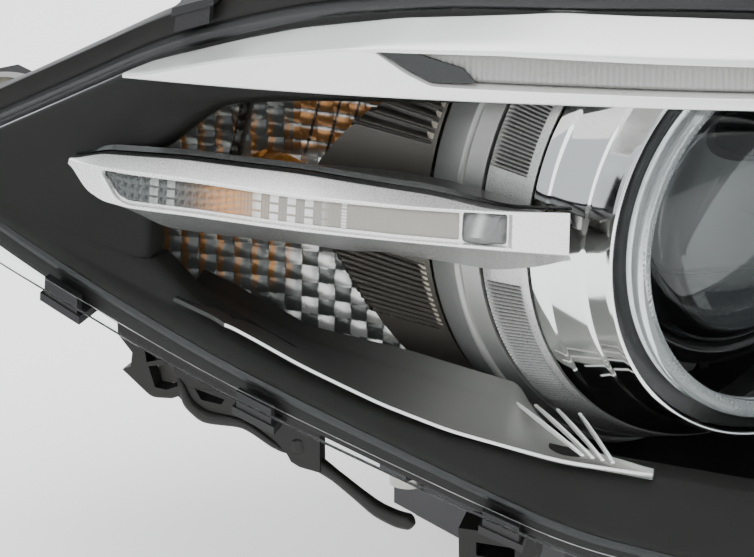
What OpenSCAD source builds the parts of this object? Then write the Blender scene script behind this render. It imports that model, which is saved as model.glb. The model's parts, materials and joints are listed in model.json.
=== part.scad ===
// Right-hand car headlamp with two ringed lamp barrels, a side marker fin and
// an eyebrow light bar. Millimetres. Forward is -Y, inboard is +X, up is +Z.
// The front face is swept: a station is an angle round the sweep centre, a
// height, and a depth behind the lens.

/* [Front face] */
// Radius of the swept front face seen from above
face_r = 520; // [430:5:625]
// Height of the lens edge above the lamp axis
lens_up = 62; // [54:1:70]
// Depth of the lens edge below the lamp axis
lens_down = 82; // [70:1:96]
// Sweep angle of the outer tip
tip_angle = 60.6; // [57:0.1:61]
// Thickness of the clear outer lens
lens_wall = 3; // [2:0.25:4]

/* [Housing] */
// Wall thickness of the rear housing
housing_wall = 3; // [2:0.25:4]
// How far the flange stands out round the lens edge
flange_out = 4.5; // [3:0.5:6]
// Rear wall position behind the low beam ring
rear_y = 165; // [160:1:190]
// Rear wall position behind the high beam ring
rear_high_y = 45; // [40:1:60]

/* [Lamp rings] */
// Outer radius of the low beam halo ring
halo_r = 47.2; // [39:0.1:51]
// Size of the high beam ring against the low beam ring
high_scale = 0.88; // [0.74:0.01:0.95]
// Radius of the projector lens
projector_r = 35; // [29:0.5:40]

/* [Moving parts] */
// Radius of the tilt and swivel pins
pin_r = 3; // [2.5:0.1:4]
// Radial clearance of a pin or shaft in its hole
run_gap = 0.05; // [0.02:0.01:0.1]
// Radius of the aiming screws
screw_r = 4; // [3.5:0.1:5]
// Radius of the low beam service port
port_r = 40; // [38:0.5:42]
// Radius of the high beam service port
high_port_r = 30; // [28:0.5:32]

/* [Mounting] */
// Radius of the bolt holes in the mounting bushes
bolt_r = 3.3; // [3:0.1:3.6]
// Thickness of the mounting tabs
tab_t = 5; // [4:0.5:6]

/* [Hidden] */
$fn = 64;
sweep_x = 282;
sweep_y = face_r - 133;
inner_angle = 4;
per_mm = 57.3 / face_r;
n = 24;
tab_z = 51.5;
seat_at = [0, rear_y + 13, tab_z + tab_t / 2];
high_at = [140, -84, 0];
pivot_y = 75;
rod_x = 20;
rod_z = -58;
aim_x = 44;
aim_z = 38;
under_z = -lens_down - 6.4;
drop = lens_down / 82;
boss_at = [for (x = [-35, 61]) for (y = [66, 114]) [x, y, 0]];
turn_at = [-85, 0, 0];
vent_at = [[-58, -37], [44, -44]];
side_tab = [-116, 6];
top_line = [[3, 26], [6, 38], [12, 50], [20, 58], [30, 62], [39, 62.4], [46, 60.8], [50, 56.4],
            [54, 46.2], [57.8, 28.8], [61, 14]];
low_line = [[3, -26], [6, -38], [10, -52], [16, -66], [24, -78], [33, -82], [38, -79], [42, -71],
            [47, -52], [52, -34], [57.5, -12], [61, 3]];

// ---- swept face ----
function crown(z) = 0.15 * z + z * z / 700;
function arc_r(z, d) = face_r - d - crown(z);
function face_at(s, z, d) = [sweep_x - arc_r(z, d) * sin(s), sweep_y - arc_r(z, d) * cos(s), z];
function ease(s, line) = (lookup(s - 1.2, line) + 2 * lookup(s, line) + lookup(s + 1.2, line)) / 4;
function z_top(s) = ease(s, top_line) * lens_up / 62;
function z_low(s) = ease(s, low_line) * lens_down / 82;
function station(i, w) = inner_angle + w * per_mm + (tip_angle - inner_angle - 2 * w * per_mm) * i / n;
function rim_loop(w, d) = concat(
    [for (i = [0:n]) face_at(station(i, w), z_top(station(i, w)) - w, d)],
    [for (i = [n:-1:0]) face_at(station(i, w), z_low(station(i, w)) + w, d)]);
function back_y(x) = lookup(x, [[64, rear_y], [88, rear_high_y], [204, rear_high_y], [250, -42]]);
// The tub's top edge falls away outboard of the low beam port.
shoulder = [[-146, 9], [-110, 14], [-75, 23], [-52, 54], [-44, 75]];
function rear_loop(w, d, wall, draft) = [for (p = rim_loop(w, d))
    [p[0], back_y(p[0] + wall * (p[0] > 62 ? 1.5 : 0)) - wall,
     min(p[2] - draft * p[2] / 60, lookup(p[0], shoulder) - w)]];
function flat(rows) = [for (r = rows) for (p = r) p];

seat = -seat_at;
module seated() {
    translate(seat) children();
}

// Closed shell from two grids: columns run outboard, rows run up.
module slab(a, b) {
    ni = len(a) - 1;
    nj = len(a[0]) - 1;
    m = nj + 1;
    o = (ni + 1) * m;
    q = concat(
        [for (i = [0:ni - 1]) for (j = [0:nj - 1]) [i * m + j, i * m + m + j, i * m + m + j + 1, i * m + j + 1]],
        [for (i = [0:ni - 1]) for (j = [0:nj - 1])
            [o + i * m + j, o + i * m + j + 1, o + i * m + m + j + 1, o + i * m + m + j]],
        [for (i = [0:ni - 1]) [i * m + m, i * m, o + i * m, o + i * m + m]],
        [for (i = [0:ni - 1]) [i * m + nj, i * m + m + nj, o + i * m + m + nj, o + i * m + nj]],
        [for (j = [0:nj - 1]) [j, j + 1, o + j + 1, o + j]],
        [for (j = [0:nj - 1]) [ni * m + j + 1, ni * m + j, o + ni * m + j, o + ni * m + j + 1]]);
    polyhedron(points = concat(flat(a), flat(b)), faces = flat([for (f = q) [[f[0], f[1], f[2]], [f[0], f[2], f[3]]]]));
}

// Closed skin through a run of loops, first loop to last, with both ends capped.
module loops(rings) {
    m = len(rings[0]);
    k = len(rings) - 1;
    h = m / 2;
    side = [for (r = [0:k - 1]) for (i = [0:m - 1])
        [r * m + i, r * m + (i + 1) % m, (r + 1) * m + (i + 1) % m, (r + 1) * m + i]];
    first = [for (i = [0:h - 2]) [m - 1 - i, m - 2 - i, i + 1, i]];
    last = [for (i = [0:h - 2]) [k * m + i, k * m + i + 1, k * m + m - 2 - i, k * m + m - 1 - i]];
    q = concat(side, first, last);
    polyhedron(points = flat(rings), faces = flat([for (f = q) [[f[0], f[1], f[2]], [f[0], f[2], f[3]]]]));
}

// Closed band through a run of loops whose last loop meets the first again.
module hoop(rings) {
    m = len(rings[0]);
    k = len(rings);
    q = [for (r = [0:k - 1]) for (i = [0:m - 1])
        [r * m + i, r * m + (i + 1) % m, ((r + 1) % k) * m + (i + 1) % m, ((r + 1) % k) * m + i]];
    polyhedron(points = flat(rings), faces = flat([for (f = q) [[f[0], f[1], f[2]], [f[0], f[2], f[3]]]]));
}

// Turned piece about the forward axis at p: outline is [radius, distance back].
module turned(p, outline, k = 1) {
    translate(p) rotate([-90, 0, 0]) rotate_extrude($fn = 96) polygon([for (q = outline) [q[0] * k, q[1] * k]]);
}
module rod_y(p, r, a, b) {
    translate([p[0], a, p[2]]) rotate([-90, 0, 0]) cylinder(r = r, h = b - a);
}
module rod_x(x, p, r, w) {
    translate([x, p[1], p[2]]) rotate([0, 90, 0]) cylinder(r = r, h = w);
}
module rod_z(p, r, a, b) {
    translate([p[0], p[1], a]) cylinder(r = r, h = b - a);
}
module box(a, b) {
    translate(a) cube(b - a);
}
// Panel between two rows of [height, depth] functions sampled at stations.
function sheet(ss, rows, t) = [for (s = ss) [for (r = rows) face_at(s, lookup(s, r[0]), lookup(s, r[1]) + t)]];
function k_line(v) = [[0, v], [70, v]];

// ---- body shells ----
module rear_housing() {
    color([0.09, 0.09, 0.095]) seated() difference() {
        union() {
            loops([rear_loop(housing_wall, 34, housing_wall, 8), rim_loop(housing_wall, 34),
                   rim_loop(housing_wall + 0.3, 18.8), rim_loop(-flange_out, 18.8), rim_loop(-flange_out, 31),
                   rim_loop(0, 31.5), rear_loop(0, 31.5, 0, 6)]);
            rod_y([0, 0, 0], port_r + 5, rear_y - 2, rear_y + 9);
            rod_y([high_at[0], 0, 0], high_port_r + 5, rear_high_y - 2, rear_high_y + 9);
            for (x = [-aim_x, aim_x]) rod_y([x, 0, aim_z], 9, rear_y - 2, rear_y + 6);
            box([side_tab[0] - 12, rear_y - 2, side_tab[1]], [side_tab[0] + 12, rear_y + 26, side_tab[1] + tab_t]);
            box([-12, rear_y - 2, tab_z], [12, rear_y + 26, tab_z + tab_t]);
            box([side_tab[0] - 2, rear_y - 2, side_tab[1] - 6], [side_tab[0] + 2, rear_y + 10, side_tab[1] + 1]);
            box([243, -84, 2], [272, -58, 2 + tab_t]);
            for (b = boss_at) rod_z(b, 6, under_z + 0.2, under_z + 23.4);
        }
        for (b = boss_at) rod_z(b, 2.6, under_z - 1.6, under_z + 8.4);
        rod_y([0, 0, 0], port_r, rear_y - 6, rear_y + 12);
        rod_y([high_at[0], 0, 0], high_port_r, rear_high_y - 6, rear_high_y + 12);
        for (x = [-aim_x, aim_x]) rod_y([x, 0, aim_z], screw_r + run_gap, rear_y - 6, rear_y + 12);
        rod_y(turn_at, 13, rear_y - 6, rear_y + 4);
        rod_z([side_tab[0], rear_y + 13, 0], 5.1, side_tab[1] - 4, side_tab[1] + 8);
        rod_z([0, rear_y + 13, 0], 5.1, 44, 60);
        rod_z([259, -71, 0], 5.1, -2, 12);
        for (v = vent_at) rod_y([v[0], 0, v[1]], 6, rear_y - 6, rear_y + 4);
    }
}

turn_back = [[0, 16], [0.25, 10], [0.9, 5], [2.4, 2], [5, 0.5], [9, 0]];
lens_cols = concat([for (q = turn_back) [0, q[0], q[1]]], [for (i = [1:20]) [i / 21, 9, 0]],
                   [for (i = [5:-1:0]) [1, turn_back[i][0], turn_back[i][1]]]);
lens_rows = concat([for (q = turn_back) [0, q[0], q[1]]], [for (i = [1:5]) [i / 6, 9, 0]],
                   [for (i = [5:-1:0]) [1, turn_back[i][0], turn_back[i][1]]]);
function lens_s(c, t) = let (a = inner_angle + (t + (c[0] < 1 ? c[1] : 0)) * per_mm,
                             b = tip_angle - (t + (c[0] < 1 ? 9 : c[1])) * per_mm)
    c[0] == 0 ? a : c[0] == 1 ? b : a + (b - a) * c[0];
function lens_z(s, r, t) = let (lo = z_low(s) + t, hi = z_top(s) - t, f = min(1, (hi - lo) / 60))
    r[0] == 0 ? lo + r[1] * f : r[0] == 1 ? hi - r[1] * f : lo + 9 * f + (hi - lo - 18 * f) * r[0];
function lens_d(c, r, t) = let (d = min(16, sqrt(c[2] * c[2] + r[2] * r[2]))) d + t * (1 - d / 16);
function lens_grid(t) = [for (c = lens_cols) [for (r = lens_rows)
    face_at(lens_s(c, t), lens_z(lens_s(c, t), r, t), lens_d(c, r, t))]];
module outer_lens() {
    color([0.85, 0.9, 0.95, 0.3]) seated() slab(lens_grid(0), lens_grid(lens_wall));
}

module lens_seal() {
    color([0.05, 0.05, 0.05]) seated() hoop([rim_loop(3, 18.6), rim_loop(3, 16.2), rim_loop(0.2, 16.2),
        rim_loop(0.2, 18.6)]);
}

function clip_rows(s, hi, near, far) = hi ? [z_top(s) + near, z_top(s) + far] : [z_low(s) - far, z_low(s) - near];
// Plate that follows the lens edge, from depth d0 to d1 and from near to far outside the edge.
module edge_plate(s, half, hi, near, far, d0, d1) {
    slab([for (a = [s - half, s, s + half]) [for (z = clip_rows(a, hi, near, far)) face_at(a, z, d0)]],
         [for (a = [s - half, s, s + half]) [for (z = clip_rows(a, hi, near, far)) face_at(a, z, d1)]]);
}
module rim_clip(s, hi) {
    edge_plate(s, 0.6, hi, flange_out + 0.8, flange_out + 2.8, 12, 33);
    edge_plate(s, 0.5, hi, 1.2, flange_out + 1, 12.6, 15.4);
}
module lens_clips() {
    color([0.07, 0.07, 0.075]) seated() {
        for (s = [53.2, 35, 18]) rim_clip(s, true);
        for (s = [56.6, 50.9, 44, 28, 14]) rim_clip(s, false);
    }
}

// ---- trim seen through the lens ----
open_top = [[6, 24], [12, 34], [20, 36], [44, 36], [50, 33], [53, 30], [54.4, 14], [70, 4]];
open_low = [[6, -22], [12, -42], [18, -54], [26, -60], [36, -60], [40, -54], [42.4, -52], [45.5, -49], [47.4, -45],
            [49.7, -38], [51, -32.6], [52.7, -21], [54.4, -8], [70, 0]];
function mouth(d, g) = concat(
    [for (i = [0:n]) let (s = 7 - g * per_mm + (47.2 + 2 * g * per_mm) * i / n) face_at(s, lookup(s, open_top) + g, d)],
    [for (i = [n:-1:0]) let (s = 7 - g * per_mm + (47.2 + 2 * g * per_mm) * i / n) face_at(s, mouth_low(s, g), d)]);
// The opening's lower edge stays clear of the housing wall where the two run close together.
function mouth_low(s, g) = max(lookup(s, open_low) - g, z_low(s) + housing_wall + 2.6 - min(g, 1.2));
// Room that the trim leaves round the two ringed barrels.
room_out = [[0, -1.6], [52.2, -1.6], [53.4, 3], [54.8, 12], [58.8, 23.2], [60.8, 27], [65.2, 41], [67.4, 46.2],
            [69.4, 46.2], [70, 57.2], [0, 57.2]];
module barrel_room() {
    turned([0, 0, 0], room_out, ring_k);
    turned(high_at, room_out, high_k);
}
module inner_bezel() {
    color([0.16, 0.16, 0.15]) seated() difference() {
        hoop([mouth(26, 0), mouth(20, 0), rim_loop(3.8, 16.6), rim_loop(5.2, 18.4), mouth(22, 1.2), mouth(26, 1.2)]);
        barrel_room();
    }
}

brow_s = [9, 14, 20, 26, 32, 37, 41, 44, 47, 49.5, 51.5, 53, 54.2, 54.8];
brow_top = [[6, 33], [12, 45], [20, 53], [30, 57.5], [39, 58], [43, 57.6], [46.7, 55.8], [49.3, 51.5], [51.6, 46.8],
            [53.6, 41.6], [54.8, 38.6]];
brow_low = [[6, 26], [12, 33], [20, 38], [30, 39.4], [42, 39.4], [47, 38.8], [54.8, 37.6]];
brow_mid = [[6, 29], [12, 40], [20, 46], [30, 48.5], [44, 48.8], [48, 48], [51.7, 45.4], [53, 42.4], [54.8, 38.2]];
brow_back = [[6, 25], [12, 32.2], [20, 37], [30, 38.2], [50, 37.8], [54.8, 36.9]];
module eyebrow_trim() {
    rows = [[brow_back, k_line(15.6)], [brow_low, k_line(6.5)], [brow_mid, k_line(7)], [brow_top, k_line(13.4)]];
    color([0.8, 0.8, 0.8]) seated() difference() {
        slab(sheet(brow_s, rows, 0), sheet(brow_s, rows, 1.6));
        barrel_room();
        slab([for (s = [10.5, 20, 30, 40, 46.2, 47.6]) [for (z = [lookup(s, bar_low), lookup(s, bar_top)]) face_at(s, z, 2)]],
             [for (s = [10.5, 20, 30, 40, 46.2, 47.6]) [for (z = [lookup(s, bar_low), lookup(s, bar_top)]) face_at(s, z, 14)]]);
    }
}
bar_low = [[9, 34], [20, 41.4], [30, 42.2], [46.2, 42], [47.6, 47.6]];
bar_top = [[9, 35.5], [20, 45.4], [30, 49], [40, 49.4], [47.6, 48.6]];
bar_s = [11.5, 20, 28, 34, 40, 44, 45.8, 46.8];
board_s = [22, 26, 30, 34, 37.5];
module eyebrow_light_guide() {
    color([0.93, 0.93, 0.9]) seated() slab(
        [for (s = bar_s) [for (g = [0.4, -0.4]) face_at(s, lookup(s, g > 0 ? bar_low : bar_top) + g, 9.6)]],
        [for (s = bar_s) [for (g = [0.4, -0.4]) face_at(s, lookup(s, g > 0 ? bar_low : bar_top) + g, 13)]]);
}
module eyebrow_led_board() {
    color([0.1, 0.35, 0.18]) seated() slab(
        [for (s = board_s) [for (z = [lookup(s, bar_low) + 1, lookup(s, bar_top) - 1]) face_at(s, z, 14)]],
        [for (s = board_s) [for (z = [lookup(s, bar_low) + 1, lookup(s, bar_top) - 1]) face_at(s, z, 15.6)]]);
}

fin_s = [42.2, 44, 46, 48.5, 51, 53.2, 54.6, 55.6, 56.3];
fin_tf = [[42.2, 14.8], [50, 15.2], [54, 16], [55.6, 16.5], [56.3, 17.2]];
fin_bf = [[42.2, 4], [46.8, 4.9], [52.6, 6.5], [54.6, 6.7], [55.6, 8.6], [56.3, 15.8]];
fin_tr = [[42.2, 12.9], [46, 13.6], [53.6, 14.6], [55.8, 15], [56.3, 15.6]];
fin_br = [[42.2, -4.8], [44.3, -7.6], [48.9, -8.4], [51.6, -6.2], [54.7, -4], [55.6, 6.6], [56.3, 13.6]];
window_low = [[43.7, 5.8], [52, 7.8], [54, 8.2], [55.4, 10.6]];
window_top = [[43.7, 12.8], [50, 13.6], [54, 14.4], [55.4, 14.6]];
fin_dr = [[42.2, 44], [48, 40], [51, 33], [53.2, 24], [54.6, 15.5], [56.3, 10]];
module fin_trim() {
    rows = [[fin_br, fin_dr], [fin_bf, k_line(7.4)], [fin_tf, k_line(6.6)], [fin_tr, fin_dr]];
    inner = [for (s = fin_s) [face_at(s, lookup(s, fin_br) + 1.6, lookup(s, fin_dr) + 0.4),
        face_at(s, min(lookup(s, fin_bf) + 1.4, lookup(s, fin_tf) - 1.2), 9.4),
        face_at(s, lookup(s, fin_tf) - 1.4 + (s > 56 ? 0.9 : 0), 9.2), face_at(s, lookup(s, fin_tr) - 1.3, lookup(s, fin_dr) + 0.4)]];
    color([0.78, 0.78, 0.78]) seated() difference() {
        slab(sheet(fin_s, rows, 0), inner);
        slab(window([43.7, 48, 52, 54, 55.4], 2, 0.4), window([43.7, 48, 52, 54, 55.4], 12.6, 0.4));
        barrel_room();
    }
}
// Two rows across the fin's window at depth d, let out by g above and below.
function window(ss, d, g) = [for (s = ss) [face_at(s, lookup(s, window_low) - g, d), face_at(s, lookup(s, window_top) + g, d)]];
module fin_light_guide() {
    ss = [45.4, 48, 50, 52, 54, 55];
    color([0.9, 0.88, 0.8]) seated() slab(window(ss, 8.6, 0), window(ss, 12.2, 0));
}
module fin_marker_lens() {
    ss = [43.9, 44.5, 45.1];
    color([0.95, 0.95, 0.95]) seated() slab(window(ss, 8.4, 0), window(ss, 11.6, 0));
}
module fin_led_board() {
    ss = [46, 48, 50, 52];
    color([0.1, 0.35, 0.18]) seated() slab(
        [for (s = ss) [face_at(s, 8.4, 15), face_at(s, 12.4, 15)]],
        [for (s = ss) [face_at(s, 8.4, 16.6), face_at(s, 12.4, 16.6)]]);
}

turn_hi = [[44, 33], [50, 32], [53, 30], [53.9, 25], [54.9, 16], [55.6, 5]];
turn_lo = [[44, -40], [48, -36], [52, -31], [54.2, -26], [54.8, -19], [55.6, -8]];
turn_s = [51.4, 51.9, 52.4, 53, 53.6, 54.2, 54.8, 55.4];
function turn_d(s, t) = 50 + 26 * sin(180 * min(1, (55.6 - s) / 12)) * (1 - 0.25 * pow(2 * t - 1, 2));
function turn_grid(g) = [for (s = turn_s) [for (t = [0:0.125:1])
    face_at(s, lookup(s, turn_lo) + (lookup(s, turn_hi) - lookup(s, turn_lo)) * t, turn_d(s, t) + g)]];
module turn_reflector() {
    color([0.75, 0.75, 0.73]) seated() difference() {
        slab(turn_grid(0), turn_grid(2));
        rod_y(turn_at, 13.5, 20, rear_y);
    }
}

// Upper and lower dark side panels: parts of a cone about the low beam axis.
module side_cone(a, b) {
    intersection() {
        turned([0, 0, 0], [[69.2, 57], [86, 78], [84.6, 79.4], [67.4, 58.6]]);
        box(a, b);
    }
}
module louvre_panel_upper() {
    color([0.22, 0.22, 0.21]) seated() side_cone([-100, 20, 16.5], [-30, 100, 44]);
}
module louvre_panel_lower() {
    color([0.22, 0.22, 0.21]) seated() side_cone([-100, 20, -46], [-30, 100, -12.5]);
}

tray_s = [40.4, 42, 43.6, 45.5, 47.4, 49.2, 50.4];
tray_f = [[40, -51.4], [42.4, -49.8], [45.5, -46.8], [47.4, -42.6], [49.7, -35.4], [51, -29.8]];
tray_b = [[40, -52.4], [42, -50], [44.2, -44], [46.4, -40.4], [48, -37.6], [50, -33.4], [51, -30]];
tray_d = [[40, 19], [42, 26], [44.2, 40], [51, 37.4]];
// Shelf from a thin front lip back and up to its rear edge.
module tray_panel() {
    color([0.45, 0.44, 0.42]) seated()
        slab([for (s = tray_s) [face_at(s, lookup(s, tray_f), 16.4), face_at(s, lookup(s, tray_f) + 1.4, 15.4),
                                face_at(s, lookup(s, tray_b), lookup(s, tray_d))]],
             [for (s = tray_s) [face_at(s, lookup(s, tray_f) - 0.7, 17.4), face_at(s, lookup(s, tray_f) - 0.4, 18.2),
                                face_at(s, lookup(s, tray_b) - 1.6, lookup(s, tray_d) + 0.6)]]);
}
module tray_ribs() {
    color([0.82, 0.82, 0.82]) seated() for (i = [0:3])
        slab([for (s = [41.2 + i * 0.7, 41.5 + i * 0.7]) [face_at(s, -47.2 + i * 0.6, 17), face_at(s, -43.2 + i * 1.2, 26)]],
             [for (s = [41.2 + i * 0.7, 41.5 + i * 0.7]) [face_at(s, -47 + i * 0.6, 24 + i * 2), face_at(s, -43.2 + i * 1.2, 32 + i * 3)]]);
}

// ---- lamp rings, from the front: halo, chrome cone, ribbed collar, satin band ----
halo_out = [[42.9, 0.2], [44.2, -0.6], [46.4, -0.6], [47.2, 0.4], [47.2, 5.4], [42.9, 5.4]];
cone_out = [[52, 3.5], [52.6, 3.5], [53.8, 12.3], [57.9, 23.8], [59.7, 27.2], [58.2, 28.2], [56.4, 24.8],
            [52.3, 13], [51.8, 6]];
ribs_out = [[60, 27.7], [64.2, 41], [62.2, 41.8], [58.5, 28.9]];
base_out = [[64.6, 41.6], [66.6, 47], [68.4, 47], [69, 56], [66.6, 56.6], [64.8, 48], [62.6, 42.6]];
module ring_piece(p, outline, k, up, down) {
    intersection() {
        turned(p, outline, k);
        box([p[0] - 100, -120, down], [p[0] + 100, 120, up]);
    }
}
ring_k = halo_r / 47.2;
high_k = ring_k * high_scale;
module low_halo_ring() {
    color([0.93, 0.95, 0.97]) seated() turned([0, 0, 0], halo_out, ring_k);
}
module low_chrome_bezel() {
    color([0.85, 0.85, 0.85]) seated() ring_piece([0, 0, 0], cone_out, ring_k, 52, -70);
}
module low_ribbed_collar() {
    color([0.8, 0.8, 0.8]) seated() ring_piece([0, 0, 0], ribs_out, ring_k, 50, -68);
}
module low_ring_base() {
    color([0.4, 0.4, 0.38]) seated() ring_piece([0, 0, 0], base_out, ring_k, 48, -66);
}
module high_halo_ring() {
    color([0.93, 0.95, 0.97]) seated() turned(high_at, halo_out, high_k);
}
module high_chrome_bezel() {
    color([0.85, 0.85, 0.85]) seated() ring_piece(high_at, cone_out, high_k, 46, -54);
}
module high_ribbed_collar() {
    color([0.8, 0.8, 0.8]) seated() ring_piece(high_at, ribs_out, high_k, 44, -52);
}
module high_ring_base() {
    color([0.4, 0.4, 0.38]) seated() ring_piece(high_at, base_out, high_k, 42, -50);
}
module low_shroud() {
    color([0.06, 0.06, 0.06]) seated() turned([0, 0, 0], [[44.6, 5.8], [51, 5.8], [51.4, 14], [56, 26], [54.4, 27],
        [49.8, 15], [49, 8], [44.6, 7.4]], ring_k);
}

// ---- low beam module ----
module pivot_brackets() {
    color([0.3, 0.3, 0.32]) seated() for (x = [-64, 58]) difference() {
        box([x, pivot_y - 9, -8], [x + 6, rear_y - housing_wall - (x < 0 ? 0.4 : 36), 8]);
        rod_x(x - 1, [0, pivot_y, 0], pin_r + run_gap, 8);
        box([x - 1, pivot_y + 14, -5], [x + 7, rear_y - housing_wall - (x < 0 ? 9 : 44), 5]);
    }
}
module tilt_frame() {
    color([0.35, 0.35, 0.36]) seated() difference() {
        union() {
            difference() {
                box([-54, pivot_y - 7, -49.5], [54, pivot_y + 7, 49.5]);
                box([-46, pivot_y - 9, -41.5], [46, pivot_y + 9, 41.5]);
            }
            rod_x(-63.4, [0, pivot_y, 0], pin_r, 10);
            rod_x(53.4, [0, pivot_y, 0], pin_r, 10);
            box([rod_x - 9, pivot_y - 4, rod_z - 5], [rod_x - 6, pivot_y + 4, -49]);
            box([rod_x + 6, pivot_y - 4, rod_z - 5], [rod_x + 9, pivot_y + 4, -49]);
            rod_x(rod_x - 8, [0, pivot_y, rod_z], pin_r, 16);
        }
        rod_z([0, pivot_y, 0], pin_r + run_gap, 40, 52);
        rod_z([0, pivot_y, 0], pin_r + run_gap, -52, -40);
    }
}
dome = [for (a = [0:7.5:90]) [projector_r * cos(90 - a), 26 - 14.5 * sin(90 - a)]];
module projector_lens() {
    color([0.85, 0.9, 0.92, 0.5]) seated() turned([0, 0, 0], concat([[0, 28]], dome, [[projector_r, 28]]));
}
module lens_retainer() {
    color([0.12, 0.12, 0.12]) seated() turned([0, 0, 0], [[projector_r + 0.2, 23], [projector_r + 2, 22],
        [projector_r + 6, 25], [projector_r + 6, 33], [projector_r - 3, 33], [projector_r - 3, 28.2],
        [projector_r + 0.2, 28.2]]);
}
module projector_bowl() {
    color([0.5, 0.5, 0.52]) seated() {
        turned([0, 0, 0], [[39, 33.2], [40.5, 33.2], [40.5, 44], [38.5, 62], [37.5, 88], [30, 102], [18, 112],
            [13, 112], [13, 109.5], [28, 100], [35, 87], [36, 62], [38, 46]]);
        rod_z([0, pivot_y, 0], 7, 35.5, 40.8);
        rod_z([0, pivot_y, 0], 7, -40.8, -35.5);
        rod_z([0, pivot_y, 0], pin_r, 40.2, 48.8);
        rod_z([0, pivot_y, 0], pin_r, -48.8, -40.2);
    }
}
module xenon_bulb() {
    color([0.9, 0.92, 0.95, 0.6]) seated() turned([0, 0, 0], [[0, 66], [3, 68], [4.6, 76], [4.6, 84], [3, 92], [3, 104],
        [9, 105], [9, 111], [12.6, 111], [12.6, 113], [16, 113], [16, 118], [0, 118]]);
}
module bulb_igniter() {
    color([0.15, 0.15, 0.15]) seated() difference() {
        box([-17, 118.4, -17], [17, 146, 17]);
        box([-6, 140, -21], [6, 147, -13]);
    }
}
module beam_shutter() {
    color([0.6, 0.6, 0.6]) seated() {
        box([-28, 47, -20], [28, 48.2, -2]);
        rod_x(-29, [0, 49.4, -20], 1.6, 58);
    }
}
module shutter_solenoid() {
    color([0.2, 0.2, 0.2]) seated() difference() {
        box([-7, 66, -33], [7, 84, -19]);
        rod_y([0, 0, -26], 2 + run_gap, 60, 90);
    }
}
module shutter_plunger() {
    color([0.7, 0.7, 0.7]) seated() {
        rod_y([0, 0, -26], 2, 56, 80);
        rod_y([0, 0, -26], 4, 54, 56.4);
    }
}
module level_motor() {
    color([0.13, 0.13, 0.13]) seated() difference() {
        box([rod_x - 15, 124, rod_z - 8], [rod_x + 15, rear_y - housing_wall - 0.4, rod_z + 10]);
        rod_y([rod_x, 0, rod_z], pin_r + run_gap, 120, 154);
    }
}
module level_rod() {
    color([0.85, 0.85, 0.8]) seated() difference() {
        union() {
            rod_y([rod_x, 0, rod_z], pin_r, pivot_y + 4, 148);
            rod_x(rod_x - 4, [0, pivot_y, rod_z], 6, 8);
        }
        rod_x(rod_x - 5, [0, pivot_y, rod_z], pin_r + 0.3, 10);
    }
}

// ---- aiming screws and their nuts ----
module aim_screw(x) {
    difference() {
        union() {
            rod_y([x, 0, aim_z], screw_r, 104, rear_y + 7);
            rod_y([x, 0, aim_z], 6.5, rear_y + 6.4, rear_y + 15);
            rod_y([x, 0, aim_z], screw_r + 1.2, rear_y - 8, rear_y - 6.4);
        }
        translate([x, rear_y + 10, aim_z]) rotate([-90, 0, 0]) cylinder(r = 3.2, h = 8, $fn = 6);
    }
}
module aim_nut(x) {
    difference() {
        box([x - 8, 118, aim_z - 8], [x + 8, 130, aim_z + 8]);
        rod_y([x, 0, aim_z], screw_r + run_gap, 116, 132);
    }
}
module vertical_screw() {
    color([0.8, 0.78, 0.7]) seated() aim_screw(aim_x);
}
module vertical_nut() {
    color([0.9, 0.9, 0.85]) seated() aim_nut(aim_x);
}
module side_screw() {
    color([0.8, 0.78, 0.7]) seated() aim_screw(-aim_x);
}
module side_nut() {
    color([0.9, 0.9, 0.85]) seated() aim_nut(-aim_x);
}

// ---- high beam ----
module high_beam_reflector() {
    c = [high_at[0], 0, 0];
    k = high_k / 0.88;
    color([0.85, 0.85, 0.85]) seated() turned(c, [[44 * k, -68], [40 * k, -54], [34 * k, -38], [26 * k, -25],
        [16, -16], [9.6, -13.4], [9.6, -11], [18, -13.6], [28 * k, -22.6], [36 * k, -36], [42 * k, -52],
        [45.6 * k, -68]]);
}
module high_beam_bulb() {
    c = [high_at[0], 0, 0];
    color([0.9, 0.9, 0.85, 0.6]) seated() {
        turned(c, [[0, -48], [4, -46], [5.4, -42], [5.4, -14], [9.2, -13], [9.2, -10.6], [16, -10.6], [16, -8], [9, -8],
                   [9, 2], [0, 2]]);
        box([high_at[0] - 8, 1.6, -7], [high_at[0] + 8, 16, 7]);
    }
}
module bulb_bail() {
    color([0.75, 0.75, 0.72]) seated() {
        rod_x(high_at[0] - 14, [0, -5.6, -22], 1.2, 28);
        rod_z([high_at[0] - 12.8, -5.6, 0], 1.2, -22, 20);
        rod_z([high_at[0] + 12.8, -5.6, 0], 1.2, -22, 20);
        rod_x(high_at[0] - 14, [0, -5.6, 19], 1.2, 28);
    }
}

// ---- rear caps ----
module cap(p, r, y) {
    difference() {
        union() {
            rod_y(p, r + 8, y + 1, y + 16);
            box([p[0] - r * 0.8, y + 15.6, -5], [p[0] + r * 0.8, y + 26, 5]);
        }
        rod_y(p, r + 5.4, y - 1, y + 12.5);
        for (a = [0:60:300]) translate([p[0], y, 0]) rotate([0, a, 0]) translate([r + 9.6, -1, 0])
            rotate([-90, 0, 0]) cylinder(r = 3, h = 20, $fn = 32);
    }
}
module low_cap() {
    color([0.1, 0.1, 0.1]) seated() cap([0, 0, 0], port_r, rear_y);
}
module low_cap_seal() {
    color([0.3, 0.1, 0.08]) seated() difference() {
        rod_y([0, 0, 0], port_r + 5, rear_y + 9.4, rear_y + 12.3);
        rod_y([0, 0, 0], port_r - 1, rear_y + 8, rear_y + 14);
    }
}
module high_cap() {
    color([0.1, 0.1, 0.1]) seated() cap([high_at[0], 0, 0], high_port_r, rear_high_y);
}
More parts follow.
